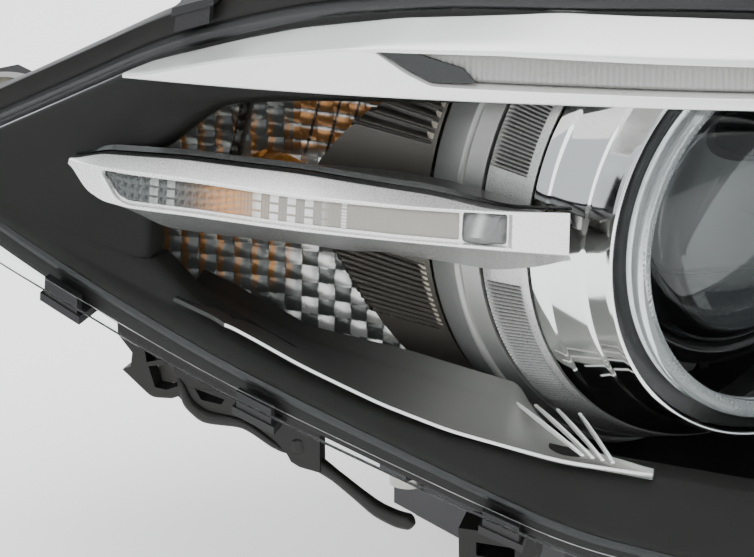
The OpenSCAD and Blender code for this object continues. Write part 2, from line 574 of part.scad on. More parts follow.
module high_cap_seal() {
    color([0.3, 0.1, 0.08]) seated() difference() {
        rod_y([high_at[0], 0, 0], high_port_r + 5, rear_high_y + 9.4, rear_high_y + 12.3);
        rod_y([high_at[0], 0, 0], high_port_r - 1, rear_high_y + 8, rear_high_y + 14);
    }
}

// ---- turn signal bulb ----
module turn_bulb_holder() {
    color([0.2, 0.2, 0.2]) seated() {
        rod_y(turn_at, 12.6, 118, rear_y + 1);
        rod_y(turn_at, 17, rear_y + 0.4, rear_y + 5);
        box([turn_at[0] - 14, rear_y + 4.6, -4], [turn_at[0] + 14, rear_y + 14, 4]);
    }
}
module turn_bulb() {
    color([0.9, 0.55, 0.15, 0.7]) seated() turned(turn_at, [[0, 92], [5, 93.5], [8.6, 98], [8.6, 104], [5, 112],
        [5, 117.6], [0, 117.6]]);
}

// ---- outside fittings ----
module strut(s, z, d, s2, z2, d2, r) {
    hull() {
        translate(face_at(s, z, d)) sphere(r = r, $fn = 16);
        translate(face_at(s2, z2, d2)) sphere(r = r, $fn = 16);
    }
}
module lower_bracket() {
    color([0.06, 0.06, 0.065]) seated() {
        strut(55.6, -28 * drop, 25, 54.6, -48 * drop, 27, 2.6);
        strut(54.6, -48 * drop, 27, 51.8, -46 * drop, 27, 2.6);
        strut(55.6, -28 * drop, 25, 51.8, -46 * drop, 27, 2.6);
        strut(51.8, -46 * drop, 27, 49.4, -60 * drop, 28, 2.4);
        strut(49.4, -60 * drop, 28, 47.2, -74 * drop, 28, 2.4);
        slab([for (s = [43.2, 45.4]) [face_at(s, -83 * drop, 24), face_at(s, -73.5 * drop, 24)]],
             [for (s = [43.2, 45.4]) [face_at(s, -83 * drop, 36), face_at(s, -73.5 * drop, 36)]]);
    }
}
module bush(p, z0, z1) {
    difference() {
        union() {
            rod_z(p, 5, z0, z1);
            rod_z(p, 7.5, z1, z1 + 1.2);
        }
        rod_z(p, bolt_r, z0 - 1, z1 + 3);
    }
}
module mount_bushes() {
    color([0.75, 0.75, 0.76]) seated() {
        bush([side_tab[0], rear_y + 13, 0], side_tab[1] - 0.4, side_tab[1] + tab_t);
        bush([0, rear_y + 13, 0], tab_z - 0.4, tab_z + tab_t);
        bush([259, -71, 0], 1.6, 2 + tab_t);
    }
}
module main_connector() {
    color([0.08, 0.08, 0.09]) seated() {
        difference() {
            box([-104, rear_y + 0.3, -34], [-68, rear_y + 24, -19]);
            box([-101, rear_y + 6, -31.5], [-71, rear_y + 26, -21.5]);
        }
        for (i = [0:7]) box([-98.5 + i * 3.4, rear_y + 5.6, -27.2], [-97.7 + i * 3.4, rear_y + 18, -25.8]);
    }
}
module ballast_module() {
    color([0.55, 0.55, 0.56]) seated() difference() {
        union() {
            box([-30, 52, under_z - 17.6], [56, 128, under_z]);
            for (i = [0:10]) box([-26 + i * 7.4, 56, under_z - 20.6], [-24 + i * 7.4, 124, under_z - 17.2]);
            box([-40, 60, under_z - 3], [66, 72, under_z]);
            box([-40, 108, under_z - 3], [66, 120, under_z]);
        }
        for (b = boss_at) rod_z(b, 2.6, under_z - 5.6, under_z + 2.4);
    }
}
module ballast_screws() {
    color([0.8, 0.8, 0.8]) seated() for (b = boss_at) {
        rod_z(b, 2.5, under_z - 3.6, under_z + 4.4);
        rod_z(b, 5, under_z - 6.2, under_z - 3.1);
    }
}
module vent_caps() {
    color([0.15, 0.15, 0.16]) seated() for (v = vent_at) {
        rod_y([v[0], 0, v[1]], 5.8, rear_y - 5, rear_y + 2);
        rod_y([v[0], 0, v[1]], 9, rear_y + 0.3, rear_y + 7);
    }
}

rear_housing();
outer_lens();
lens_seal();
lens_clips();
inner_bezel();
eyebrow_trim();
eyebrow_light_guide();
eyebrow_led_board();
fin_trim();
fin_light_guide();
fin_marker_lens();
fin_led_board();
turn_reflector();
louvre_panel_upper();
louvre_panel_lower();
tray_panel();
tray_ribs();
low_ring_base();
low_ribbed_collar();
low_chrome_bezel();
low_halo_ring();
high_ring_base();
high_ribbed_collar();
high_chrome_bezel();
high_halo_ring();
low_shroud();
pivot_brackets();
level_motor();
high_beam_reflector();
high_beam_bulb();
lower_bracket();
mount_bushes();
main_connector();
ballast_module();
ballast_screws();
vent_caps();
tilt_frame();
projector_lens();
lens_retainer();
projector_bowl();
xenon_bulb();
bulb_igniter();
beam_shutter();
shutter_solenoid();
shutter_plunger();
level_rod();
vertical_screw();
vertical_nut();
side_screw();
side_nut();
low_cap();
low_cap_seal();
high_cap();
high_cap_seal();
turn_bulb_holder();
turn_bulb();
bulb_bail();
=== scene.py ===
"""Looks of a right-hand car headlamp: smooth skins, ribs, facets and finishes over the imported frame."""
import json
import math

import bmesh
import bpy
import numpy as np
from mathutils.geometry import tessellate_polygon
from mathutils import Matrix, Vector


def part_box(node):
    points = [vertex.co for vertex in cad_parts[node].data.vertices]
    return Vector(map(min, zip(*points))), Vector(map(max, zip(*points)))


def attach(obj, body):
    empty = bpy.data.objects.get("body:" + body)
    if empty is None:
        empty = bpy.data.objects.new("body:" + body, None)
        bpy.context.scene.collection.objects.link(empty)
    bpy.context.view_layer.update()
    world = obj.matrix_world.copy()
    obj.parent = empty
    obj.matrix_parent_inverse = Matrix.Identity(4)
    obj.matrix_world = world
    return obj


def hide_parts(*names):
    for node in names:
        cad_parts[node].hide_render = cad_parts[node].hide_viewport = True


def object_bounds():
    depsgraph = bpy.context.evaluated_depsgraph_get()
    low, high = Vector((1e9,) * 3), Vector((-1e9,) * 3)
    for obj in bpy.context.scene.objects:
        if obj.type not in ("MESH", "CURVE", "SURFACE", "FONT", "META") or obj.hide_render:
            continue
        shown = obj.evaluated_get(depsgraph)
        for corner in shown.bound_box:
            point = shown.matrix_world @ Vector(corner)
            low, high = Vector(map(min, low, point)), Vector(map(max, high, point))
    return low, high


bl_info = {
    "name": "Car headlamp",
    "version": (1, 0, 0),
    "blender": (4, 5, 0),
    "location": "3D View > Sidebar > Headlamp",
    "description": "Builds the visible skins and finishes of a car headlamp on its CAD frame",
    "category": "Add Mesh",
}

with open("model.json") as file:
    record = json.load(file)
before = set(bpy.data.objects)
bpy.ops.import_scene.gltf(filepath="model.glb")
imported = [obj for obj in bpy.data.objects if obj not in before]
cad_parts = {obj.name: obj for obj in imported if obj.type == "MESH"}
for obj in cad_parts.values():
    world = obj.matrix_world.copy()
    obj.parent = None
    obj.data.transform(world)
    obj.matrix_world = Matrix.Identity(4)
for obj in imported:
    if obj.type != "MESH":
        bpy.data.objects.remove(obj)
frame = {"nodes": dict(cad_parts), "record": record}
CAD_BOX = [list(map(float, c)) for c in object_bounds()]

MM = 0.001
BODY = "lamp_body"


def centre_of(node):
    """Middle of a node's box in X and Z, with the box's front in Y."""
    lo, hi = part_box(node)
    return np.array([(lo[0] + hi[0]) / 2, lo[1], (lo[2] + hi[2]) / 2])


# All stations are counted from the low beam ring's centre, 0.6 mm behind the halo's front edge.
RING = centre_of("low_halo_ring") + np.array([0, 0.6 * MM, 0])
HIGH_RING = RING + np.array([140 * MM, -84 * MM, 0])
HIGH_K = 0.88
FACE_R = 520.0
SWEEP_X = 282.0
SWEEP_Y = 387.0
# Sweep angles of the lens's outboard and inboard ends, and degrees to a millimetre along the face.
TIP = 60.6
INNER = 4.0
PER_MM = 57.3 / FACE_R


# ---- the swept face ----
def face(s, z, d):
    """Point at sweep angle s, height z and depth d behind the lens: (X - r sin s, Y - r cos s, z) about the sweep
    centre, where r is the face radius less the depth and less the crown 0.15 z + z z / 700."""
    s, z, d = np.broadcast_arrays(np.asarray(s, float), z, d)
    r = FACE_R - d - 0.15 * z - z * z / 700
    a = np.radians(s)
    return np.stack([SWEEP_X - r * np.sin(a), SWEEP_Y - r * np.cos(a), z], -1) * MM + RING


def line(points, width=1.0):
    """Function of s: the straight-line reading of the points, averaged over a window of 2 * width."""
    xs, ys = np.array(points, float).T
    offs = np.linspace(-width, width, 9)

    def read(s):
        s = np.asarray(s, float)
        return np.mean([np.interp(s + o, xs, ys) for o in offs], 0)

    return read


z_top = line([(3, 26), (6, 38), (12, 50), (20, 58), (30, 62), (39, 62.4), (46, 60.8), (50, 56.4), (54, 46.2),
              (57.8, 28.8), (61, 14)], 1.2)
z_low = line([(3, -26), (6, -38), (10, -52), (16, -66), (24, -78), (33, -82), (38, -79), (42, -71), (47, -52),
              (52, -34), (57.5, -12), (61, 3)], 1.2)


def step(a, b, x):
    """Smooth step from 0 at a to 1 at b."""
    t = np.clip((x - a) / (b - a), 0, 1)
    return t * t * (3 - 2 * t)


# ---- mesh building ----
def rounded(ctrl, radii, m=5):
    """Rounds each inner corner of polylines ctrl (n, K, c): the corner becomes a quadratic curve that starts and
    ends radii[k] away from it, or half a side where the side is shorter."""
    out = [ctrl[:, 0]]
    t = np.linspace(0, 1, m)[:, None, None]
    for k in range(1, ctrl.shape[1] - 1):
        b = ctrl[:, k]
        r = radii[k] if np.ndim(radii) else radii
        arms = []
        for other in (ctrl[:, k - 1], ctrl[:, k + 1]):
            v = other - b
            length = np.linalg.norm(v, axis=-1, keepdims=True) + 1e-9
            arms.append(b + v / length * np.minimum(r, length * 0.45))
        curve = (1 - t) ** 2 * arms[0] + 2 * t * (1 - t) * b + t * t * arms[1]
        out += list(curve)
    out.append(ctrl[:, -1])
    return np.stack(out, 1)


def spread(ctrl, counts):
    """Adds counts[k] - 1 even points inside each span k of polylines ctrl (n, K, c)."""
    out = []
    for k, c in enumerate(counts):
        for t in np.arange(c) / c:
            out.append(ctrl[:, k] * (1 - t) + ctrl[:, k + 1] * t)
    out.append(ctrl[:, -1])
    return np.stack(out, 1)


def unit(v):
    """v scaled to length 1."""
    return v / (np.linalg.norm(v, axis=-1, keepdims=True) + 1e-12)


def slope(p, axis, wrap):
    """Central difference of a grid along an axis, round the seam if it wraps."""
    if wrap:
        return np.roll(p, -1, axis) - np.roll(p, 1, axis)
    return np.gradient(p, axis=axis)


def quads(rows, cols, wrap_u, wrap_v, start=0):
    """Corner numbers of a grid's faces."""
    idx = np.arange(rows * cols).reshape(rows, cols) + start
    if wrap_u:
        idx = np.concatenate([idx, idx[:1]], 0)
    if wrap_v:
        idx = np.concatenate([idx, idx[:, :1]], 1)
    return np.stack([idx[:-1, :-1], idx[:-1, 1:], idx[1:, 1:], idx[1:, :-1]], -1).reshape(-1, 4)


def make(name, verts, faces, mat, slot, body=BODY, replaces=(), sharp=35, values=None):
    """Makes one closed piece from points and faces of one width, gives it its finish and puts it on its body.
    values are the points' colours, red, green, blue."""
    mesh = bpy.data.meshes.new(name)
    mesh.vertices.add(len(verts))
    mesh.vertices.foreach_set("co", np.asarray(verts, np.float32).ravel())
    faces = np.asarray(faces, np.int32)
    mesh.loops.add(faces.size)
    mesh.loops.foreach_set("vertex_index", faces.ravel())
    mesh.polygons.add(len(faces))
    mesh.polygons.foreach_set("loop_start", np.arange(0, faces.size, faces.shape[1], dtype=np.int32))
    mesh.update(calc_edges=True)
    if values is not None:
        attr = mesh.attributes.new("tint", "FLOAT_COLOR", "POINT")
        rgba = np.concatenate([values, np.ones((len(values), 1))], 1)
        attr.data.foreach_set("color", rgba.astype(np.float32).ravel())
    bm = bmesh.new()
    bm.from_mesh(mesh)
    bmesh.ops.remove_doubles(bm, verts=bm.verts, dist=2e-6)
    bmesh.ops.dissolve_degenerate(bm, edges=bm.edges, dist=1e-6)
    bmesh.ops.recalc_face_normals(bm, faces=bm.faces)
    bm.to_mesh(mesh)
    bm.free()
    mesh.shade_smooth()
    mesh.set_sharp_from_angle(angle=math.radians(sharp))
    mesh.materials.append(mat)
    obj = bpy.data.objects.new(name, mesh)
    bpy.context.scene.collection.objects.link(obj)
    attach(obj, body)
    if replaces:
        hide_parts(*replaces)
    return obj


def shell(name, p, t, mat, slot, wrap_u=False, values=None, **rest):
    """A wall of thickness t mm behind the grid p: each point is copied t against the face's normal, and the two
    grids are joined round their edges."""
    n = unit(np.cross(slope(p, 1, False), slope(p, 0, wrap_u)))
    q = p - n * (np.asarray(t)[..., None] if np.ndim(t) else t) * MM
    rows, cols = p.shape[:2]
    k = rows * cols
    front = quads(rows, cols, wrap_u, False)
    back = quads(rows, cols, wrap_u, False, k)[:, ::-1]
    idx = np.arange(k).reshape(rows, cols)
    rims = []
    for edge in (idx[:, 0], idx[:, -1]) + (() if wrap_u else (idx[0], idx[-1])):
        e = np.append(edge, edge[0]) if wrap_u else edge
        rims.append(np.stack([e[:-1], e[1:], e[1:] + k, e[:-1] + k], -1))
    verts = np.concatenate([p.reshape(-1, 3), q.reshape(-1, 3)])
    if values is not None:
        values = np.concatenate([values.reshape(-1, 3)] * 2)
    return make(name, verts, np.concatenate([front, back] + rims), mat, slot, values=values, **rest)


def tube(name, p, mat, slot, wrap_u=True, values=None, **rest):
    """A closed skin through loops p (n, m, 3), each loop joined round; unless the run of loops wraps, both ends
    close on a loop of points at the end's middle, which are then merged."""
    if values is not None:
        values = values.reshape(-1, 3)
    if not wrap_u:
        ends = [np.repeat(p[e].mean(0)[None, None], p.shape[1], 1) for e in (0, -1)]
        p = np.concatenate([ends[0], p, ends[1]])
    rows, cols = p.shape[:2]
    return make(name, p.reshape(-1, 3), quads(rows, cols, wrap_u, True), mat, slot, values=values, **rest)


def plate(name, outline, holes, depths, mat, slot, **rest):
    """A flat moulding that follows the face between two depths: outline and holes are loops of (angle, height)."""
    loops = [np.array(h, float) for h in [outline] + holes]
    flat = [[(s / PER_MM, z, 0.0) for s, z in loop] for loop in loops]
    tris = np.array(tessellate_polygon(flat))
    s, z = np.concatenate(loops).T
    n = len(s)
    faces = [tris, tris[:, ::-1] + n]
    start = 0
    for loop in loops:
        e = start + np.arange(len(loop))
        nxt = np.roll(e, -1)
        faces += [np.stack([e, nxt, nxt + n], -1), np.stack([e, nxt + n, e + n], -1)]
        start += len(loop)
    verts = np.concatenate([face(s, z, d) for d in depths])
    return make(name, verts, np.concatenate(faces), mat, slot, **rest)


def bar(name, path, radii, mat, slot, **rest):
    """A rounded bar along points (angle, height, depth), with a radius at each point and rounded ends."""
    ctrl = np.array(path, float)
    u = np.linspace(0, len(ctrl) - 1, 40)
    line_at = np.stack([np.interp(u, np.arange(len(ctrl)), c) for c in ctrl.T], 1)
    p = face(*line_at.T)
    for _ in range(6):
        p[1:-1] = (p[:-2] + 2 * p[1:-1] + p[2:]) / 4
    along = unit(np.gradient(p, axis=0))
    side = unit(np.cross(along, [0.0, 1.0, 0.0]))
    up = np.cross(side, along)
    a = np.linspace(0, 2 * np.pi, 20, endpoint=False)[None, :, None]
    r = np.interp(u, np.arange(len(radii)), radii) * np.minimum(1, np.sqrt(np.minimum(u, u[::-1]) * 3 + 0.02))
    ring = p[:, None] + r[:, None, None] * MM * (np.cos(a) * side[:, None] + np.sin(a) * up[:, None])
    return tube(name, ring, mat, slot, wrap_u=False, **rest)


def turned(outline, at, k=1.0, n=256, wave=None):
    """Grid of a turned piece: outline points (radius, depth) in mm carried round the beam axis; wave(a, i)
    adds to the radius at angle a for outline point i."""
    a = np.linspace(0, 2 * np.pi, n, endpoint=False)[:, None]
    r, y = np.array(outline, float).T
    if wave is not None:
        r = r + wave(a, np.arange(len(y))[None])
    r, y, a = np.broadcast_arrays(r, y, a)
    return np.stack([r * np.cos(a), y, r * np.sin(a)], -1) * MM * k + at


def rounded_ring(p, r, m):
    """Closed loops p (n, K, c) with every corner rounded by about r."""
    return rounded(np.concatenate([p[:, -1:], p, p[:, :1]], 1), r, m)[:, 1:-1]


def fillet(outline, r, m):
    """A closed outline with every corner rounded by about r mm."""
    return rounded_ring(np.array(outline, float)[None], r, m)[0]


def swept(s, rows, radii):
    """Grid over angles s through rows of (height, depth), with corners rounded by radii."""
    ctrl = rounded(np.stack([np.stack(np.broadcast_arrays(*row), -1) for row in rows], 1), radii)
    return face(s[:, None], ctrl[..., 0], ctrl[..., 1])


# ---- finishes ----
def link(tree, a, b):
    """Joins two sockets."""
    tree.links.new(a, b)


def tune(node, **values):
    """Sets a node's sockets by name, with _ for a space."""
    for key, value in values.items():
        node.inputs[key.replace("_", " ")].default_value = value


def add(tree, kind, **values):
    """A new shader node with its sockets set."""
    node = tree.nodes.new("ShaderNode" + kind)
    tune(node, **values)
    return node


def base_nodes(name):
    """A fresh material with its Principled shader and a noise that reads object coordinates in millimetres."""
    mat = bpy.data.materials.new(name)
    mat.use_nodes = True
    tree = mat.node_tree
    shader = tree.nodes["Principled BSDF"]
    scale = add(tree, "VectorMath")
    scale.operation = "SCALE"
    tune(scale, Scale=1 / MM)
    link(tree, add(tree, "TexCoord").outputs["Object"], scale.inputs[0])
    return mat, tree, shader, scale.outputs[0]


def noise(tree, where, scale, detail=3, stretch=None):
    """Noise of a given frequency per millimetre, squeezed along an axis where asked."""
    node = add(tree, "TexNoise", Scale=scale, Detail=detail)
    if stretch:
        turn = add(tree, "Mapping", Scale=stretch)
        link(tree, where, turn.inputs["Vector"])
        where = turn.outputs[0]
    link(tree, where, node.inputs["Vector"])
    return node.outputs["Fac"]


def between(tree, fac, low, high):
    """fac from 0.25 to 0.75 carried to a number from low to high."""
    node = add(tree, "MapRange", From_Min=0.25, From_Max=0.75, To_Min=low, To_Max=high)
    link(tree, fac, node.inputs["Value"])
    return node.outputs[0]


def blend_colour(tree, fac, dark, light):
    """Mix of two colours by fac."""
    node = add(tree, "Mix")
    node.data_type = "RGBA"
    tune(node, A=(*dark, 1), B=(*light, 1))
    link(tree, fac, node.inputs["Factor"])
    return node.outputs["Result"]


def bumped(tree, shader, fac, height, strength=1.0):
    """Bump of the given height in millimetres."""
    node = add(tree, "Bump", Strength=strength, Distance=height * MM)
    link(tree, fac, node.inputs["Height"])
    link(tree, node.outputs[0], shader.inputs["Normal"])


FINISHES = {}


def by_name(build):
    """Makes each named finish once, so that pieces share it."""
    def shared(name, *rest, **more):
        if name not in FINISHES:
            FINISHES[name] = build(name, *rest, **more)
        return FINISHES[name]

    return shared


@by_name
def finish(name, colour, rough, metal=0.0, spread=0.12, grain=2.0, height=0.01, blotch=0.05, coat=0.0, stretch=None,
           spec=0.5):
    """A surface finish: colour varied by spread over blotches, roughness varied with it, and a fine grain bump."""
    mat, tree, shader, where = base_nodes(name)
    broad = noise(tree, where, blotch, 2)
    fine = noise(tree, where, grain, 2, stretch)
    dark = [c * (1 - spread) for c in colour]
    light = [min(1, c * (1 + spread)) for c in colour]
    link(tree, blend_colour(tree, between(tree, broad, 0, 1), dark, light), shader.inputs["Base Color"])
    link(tree, between(tree, broad, rough * 0.85, min(1, rough * 1.15)), shader.inputs["Roughness"])
    tune(shader, Metallic=metal, Specular_IOR_Level=spec, Coat_Weight=coat, Coat_Roughness=0.08)
    bumped(tree, shader, fine, height)
    return mat


@by_name
def clear_finish(name, tint):
    """Clear moulded plastic: what is behind shows through, and a gloss grows towards grazing angles."""
    mat, tree, shader, where = base_nodes(name)
    tree.nodes.remove(shader)
    through = add(tree, "BsdfTransparent", Color=(*tint, 1))
    mirror = add(tree, "BsdfGlossy", Roughness=0.02, Color=(1, 1, 1, 1))
    bumped(tree, mirror, noise(tree, where, 0.02, 1), 0.02, 0.2)
    mix = add(tree, "MixShader")
    for socket, source in enumerate((add(tree, "Fresnel", IOR=1.04), through, mirror)):
        link(tree, source.outputs[0], mix.inputs[socket])
    link(tree, mix.outputs[0], tree.nodes["Material Output"].inputs["Surface"])
    return mat


@by_name
def glass_finish(name, colour, rough=0.02, ior=1.5, weight=1.0):
    """Solid clear glass or acrylic that bends light."""
    mat, tree, shader, where = base_nodes(name)
    tune(shader, Base_Color=(*colour, 1), Transmission_Weight=weight, IOR=ior)
    link(tree, between(tree, noise(tree, where, 0.2, 2), rough * 0.7, rough * 1.3), shader.inputs["Roughness"])
    return mat


@by_name
def tinted_finish(name, rough, metal=0.0, coat=0.0, grain=1.0, height=0.01):
    """A finish whose colour is the piece's tint attribute, dulled a little over fine blotches; on several pieces
    that tint holds painted light and shade besides the piece's own colour.
    """
    mat, tree, shader, where = base_nodes(name)
    tint = add(tree, "Attribute")
    tint.attribute_name = "tint"
    fine = noise(tree, where, grain, 2)
    dull = add(tree, "Mix")
    dull.data_type = "RGBA"
    dull.blend_type = "MULTIPLY"
    tune(dull, Factor=1.0)
    link(tree, tint.outputs["Color"], dull.inputs["A"])
    shade = blend_colour(tree, between(tree, fine, 0, 1), (0.94, 0.94, 0.935), (1, 1, 1))
    link(tree, shade, dull.inputs["B"])
    link(tree, dull.outputs["Result"], shader.inputs["Base Color"])
    link(tree, between(tree, fine, rough * 0.8, rough * 1.2), shader.inputs["Roughness"])
    tune(shader, Metallic=metal, Coat_Weight=coat)
    bumped(tree, shader, fine, height)
    return mat


def satin_chrome():
    return finish("satin_chrome", (0.84, 0.825, 0.80), 0.3, 0.55, 0.02, 3.0, 0.002)


def silver_satin():
    return finish("silver_satin", (0.34, 0.335, 0.32), 0.38, 0.6, 0.06, 5.0, 0.015)


def bezel_plastic():
    return finish("bezel_plastic", (0.008, 0.008, 0.0065), 0.62, 0, 0.1, 2.5, 0.006, stretch=(0.3, 0.3, 1.6),
                  spec=0.22)


def housing_plastic():
    return finish("housing_plastic", (0.009, 0.0085, 0.0075), 0.4, 0, 0.2, 1.6, 0.03, spec=0.25)


def dark_gloss():
    return finish("dark_gloss", (0.006, 0.006, 0.006), 0.25, 0, 0.2, 1.0, 0.004)


# ---- stage, light and camera ----
class HeadlampSettings(bpy.types.PropertyGroup):
    """Sizes and colours of the looks that a user would change."""

    lens_wall: bpy.props.FloatProperty(
        name="Lens wall", description="Thickness of the clear lens skin", default=2.6 * MM, unit="LENGTH")
    reflector_cell: bpy.props.FloatProperty(
        name="Reflector cell", description="Width of one turn signal facet", default=4.2 * MM, unit="LENGTH")
    collar_ribs: bpy.props.IntProperty(
        name="Collar ribs", description="Ribs round a whole ring collar", default=380)
    halo_teeth: bpy.props.IntProperty(name="Halo teeth", description="Teeth round a halo ring", default=200)
    amber: bpy.props.FloatVectorProperty(
        name="Amber", description="Colour of the amber bulb and its reflections", default=(0.62, 0.25, 0.05),
        subtype="COLOR")
    camera_distance: bpy.props.FloatProperty(
        name="Camera distance", description="From the low beam ring", default=1.5, unit="LENGTH")


def settings():
    return bpy.context.scene.headlamp


class HEADLAMP_OT_stage(bpy.types.Operator):
    """Floor, soft lights and the camera"""

    bl_idname = "headlamp.stage"
    bl_label = "Stage, lights and camera"

    def execute(self, context):
        make_camera(settings().camera_distance)
        make_stage()
        return {"FINISHED"}


# Width of what the frame shows at the ring, and how far the camera slides left and down, in metres.
VIEW_WIDTH = 0.18274
SLIDE_LEFT = 0.1012
SLIDE_DOWN = 0.011


def placed(obj, x, y, z, at):
    """Puts an object into the scene with its own axes and place given."""
    mat = np.eye(4)
    mat[:3] = np.stack([x, y, z, at], 1)
    obj.matrix_world = mat.T.tolist()
    bpy.context.scene.collection.objects.link(obj)


def make_camera(distance):
    """Camera 34.2 degrees outboard and 19.8 above the ring, slid along its own axes to frame the lamp."""
    az, el = math.radians(34.2), math.radians(19.8)
    back = np.array([-math.sin(az) * math.cos(el), -math.cos(az) * math.cos(el), math.sin(el)])
    right = np.array([math.cos(az), -math.sin(az), 0])
    up = np.cross(back, right)
    cam = bpy.data.objects.new("camera", bpy.data.cameras.new("camera"))
    cam.data.sensor_width = 36
    cam.data.lens = cam.data.sensor_width * distance / VIEW_WIDTH
    cam.data.clip_end = 20
    placed(cam, right, up, back, RING + back * distance - right * SLIDE_LEFT - up * SLIDE_DOWN)
    bpy.context.scene.camera = cam


def area_light(name, at, aim, size, power):
    """A soft rectangular light that faces aim."""
    data = bpy.data.lights.new(name, "AREA")
    data.shape = "RECTANGLE"
    data.size, data.size_y = size
    data.energy = power
    obj = bpy.data.objects.new(name, data)
    z = unit(np.array(at, float) - np.array(aim, float))
    x = unit(np.cross([0, 0, 1], z)) if abs(z[2]) < 0.99 else np.array([1.0, 0, 0])
    placed(obj, x, np.cross(z, x), z, at)


def make_stage():
    """A pale floor under the lamp, a soft grey sky and three soft lights."""
    half = 6.0
    z = CAD_BOX[0][2] - 4 * MM
    verts = [(-half, -half, z), (half, -half, z), (half, half, z), (-half, half, z)]
    mesh = bpy.data.meshes.new("floor")
    mesh.from_pydata(verts, [], [(0, 1, 2, 3)])
    floor = bpy.data.objects.new("floor", mesh)
    mat, tree, shader, where = base_nodes("floor_paper")
    shade = between(tree, noise(tree, where, 0.004, 2), 0, 1)
    link(tree, blend_colour(tree, shade, (0.86, 0.86, 0.85), (0.9, 0.9, 0.89)), shader.inputs["Base Color"])
    tune(shader, Roughness=0.9, Specular_IOR_Level=0.0, Emission_Color=(1, 1, 1, 1), Emission_Strength=0.85)
    mesh.materials.append(mat)
    bpy.context.scene.collection.objects.link(floor)
    world = bpy.data.worlds.new("studio")
    world.use_nodes = True
    tune(world.node_tree.nodes["Background"], Color=(0.93, 0.95, 1.0, 1), Strength=0.95)
    bpy.context.scene.world = world
    c = RING
    area_light("top_soft", c + [-0.1, -0.3, 1.8], c, (2.4, 1.8), 46)
    area_light("front_soft", c + [-1.6, -0.9, 0.5], c, (1.2, 1.6), 12)
    area_light("inboard_soft", c + [1.5, -0.6, 1.0], c, (1.0, 1.2), 8)


# ---- body skins ----
class HEADLAMP_OT_lens(bpy.types.Operator):
    """Clear outer lens with its turned-back edge"""

    bl_idname = "headlamp.lens"
    bl_label = "Outer lens"

    def execute(self, context):
        make_lens(settings().lens_wall / MM)
        make_seal()
        return {"FINISHED"}


def rim(w, d, n=220):
    """Loop round the lens edge, w mm inside it and d mm deep: along the top outboard, back along the bottom."""
    u = np.linspace(0, 1, n)
    s = INNER + w * PER_MM + (TIP - INNER - 2 * w * PER_MM) * u
    top = face(s, z_top(s) - w, d)
    low = face(s[::-1], z_low(s[::-1]) + w, d)
    return np.concatenate([top, low])


def edge_profile(t):
    """How far a lens edge point at place t (0 edge, 1 flat) stands in from the edge and behind the face."""
    return 9 * t ** 2.2, 16 * (1 - t) ** 3


def make_lens(wall):
    """Swept face whose edges turn back 16 mm: depth 16 (1 - t)^3 while the point moves in 9 t^2.2."""
    inset, depth = edge_profile(np.linspace(0, 1, 14))

    def stations(count):
        """Rows of (place across, inset, depth): one turned edge, the flat middle, the other edge."""
        near, far = [[(end, w, d) for w, d in zip(inset, depth)] for end in (0, 1)]
        return np.array(near + [(m, 9, 0) for m in np.linspace(0, 1, count)[1:-1]] + far[::-1])

    rows, cols = stations(26), stations(120)
    a, b = INNER + 9 * PER_MM, TIP - 9 * PER_MM
    s = np.where(cols[:, 0] == 0, INNER + cols[:, 1] * PER_MM,
                 np.where(cols[:, 0] == 1, TIP - cols[:, 1] * PER_MM, a + (b - a) * cols[:, 0]))[:, None]
    lo, hi = z_low(s), z_top(s)
    f = np.minimum(1, (hi - lo) / 60)
    w = rows[None, :, 1]
    part = rows[None, :, 0]
    z = np.where(part == 0, lo + w * f, np.where(part == 1, hi - w * f, lo + 9 * f + (hi - lo - 18 * f) * part))
    d = np.minimum(16, np.hypot(cols[:, None, 2], rows[None, :, 2]))
    # The turned-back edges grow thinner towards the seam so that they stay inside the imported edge.
    shell("lens_skin", face(s, z, d + 0.05), wall - 0.2 * d / 16, clear_finish("lens_clear", (0.97, 0.98, 0.98)),
          "lens_clear", replaces=("outer_lens",), sharp=60)


def make_seal():
    """Dark bead between the lens edge and the housing flange."""
    p = np.stack([rim(3, 18.6), rim(3, 16.2), rim(0.2, 16.2), rim(0.2, 18.6)], 1)
    tube("seal_bead", rounded_ring(p, 0.5, 3), finish("seal_black", (0.012, 0.012, 0.012), 0.35, 0, 0.2, 1.2, 0.02),
         "seal_rubber", replaces=("lens_seal",))


class HEADLAMP_OT_housing(bpy.types.Operator):
    """Lip round the lens and the moulded foot under the outer end"""

    bl_idname = "headlamp.housing"
    bl_label = "Housing"

    def execute(self, context):
        make_flange()
        make_bracket()
        return {"FINISHED"}


def make_flange():
    """Lip round the lens: a rounded channel section carried round the lens edge."""
    section = [(1.4, 18.4), (-4.6, 18.4), (-5.0, 19.2), (-5.0, 30.6), (-4.6, 31.4), (1.6, 31.8), (1.6, 30.8),
               (-3.9, 30.4), (-3.9, 19.4), (1.4, 19.4)]
    p = rounded_ring(np.stack([rim(w, d) for w, d in section], 1), 0.5, 3)
    tube("flange_skin", p, housing_plastic(), "housing_black")


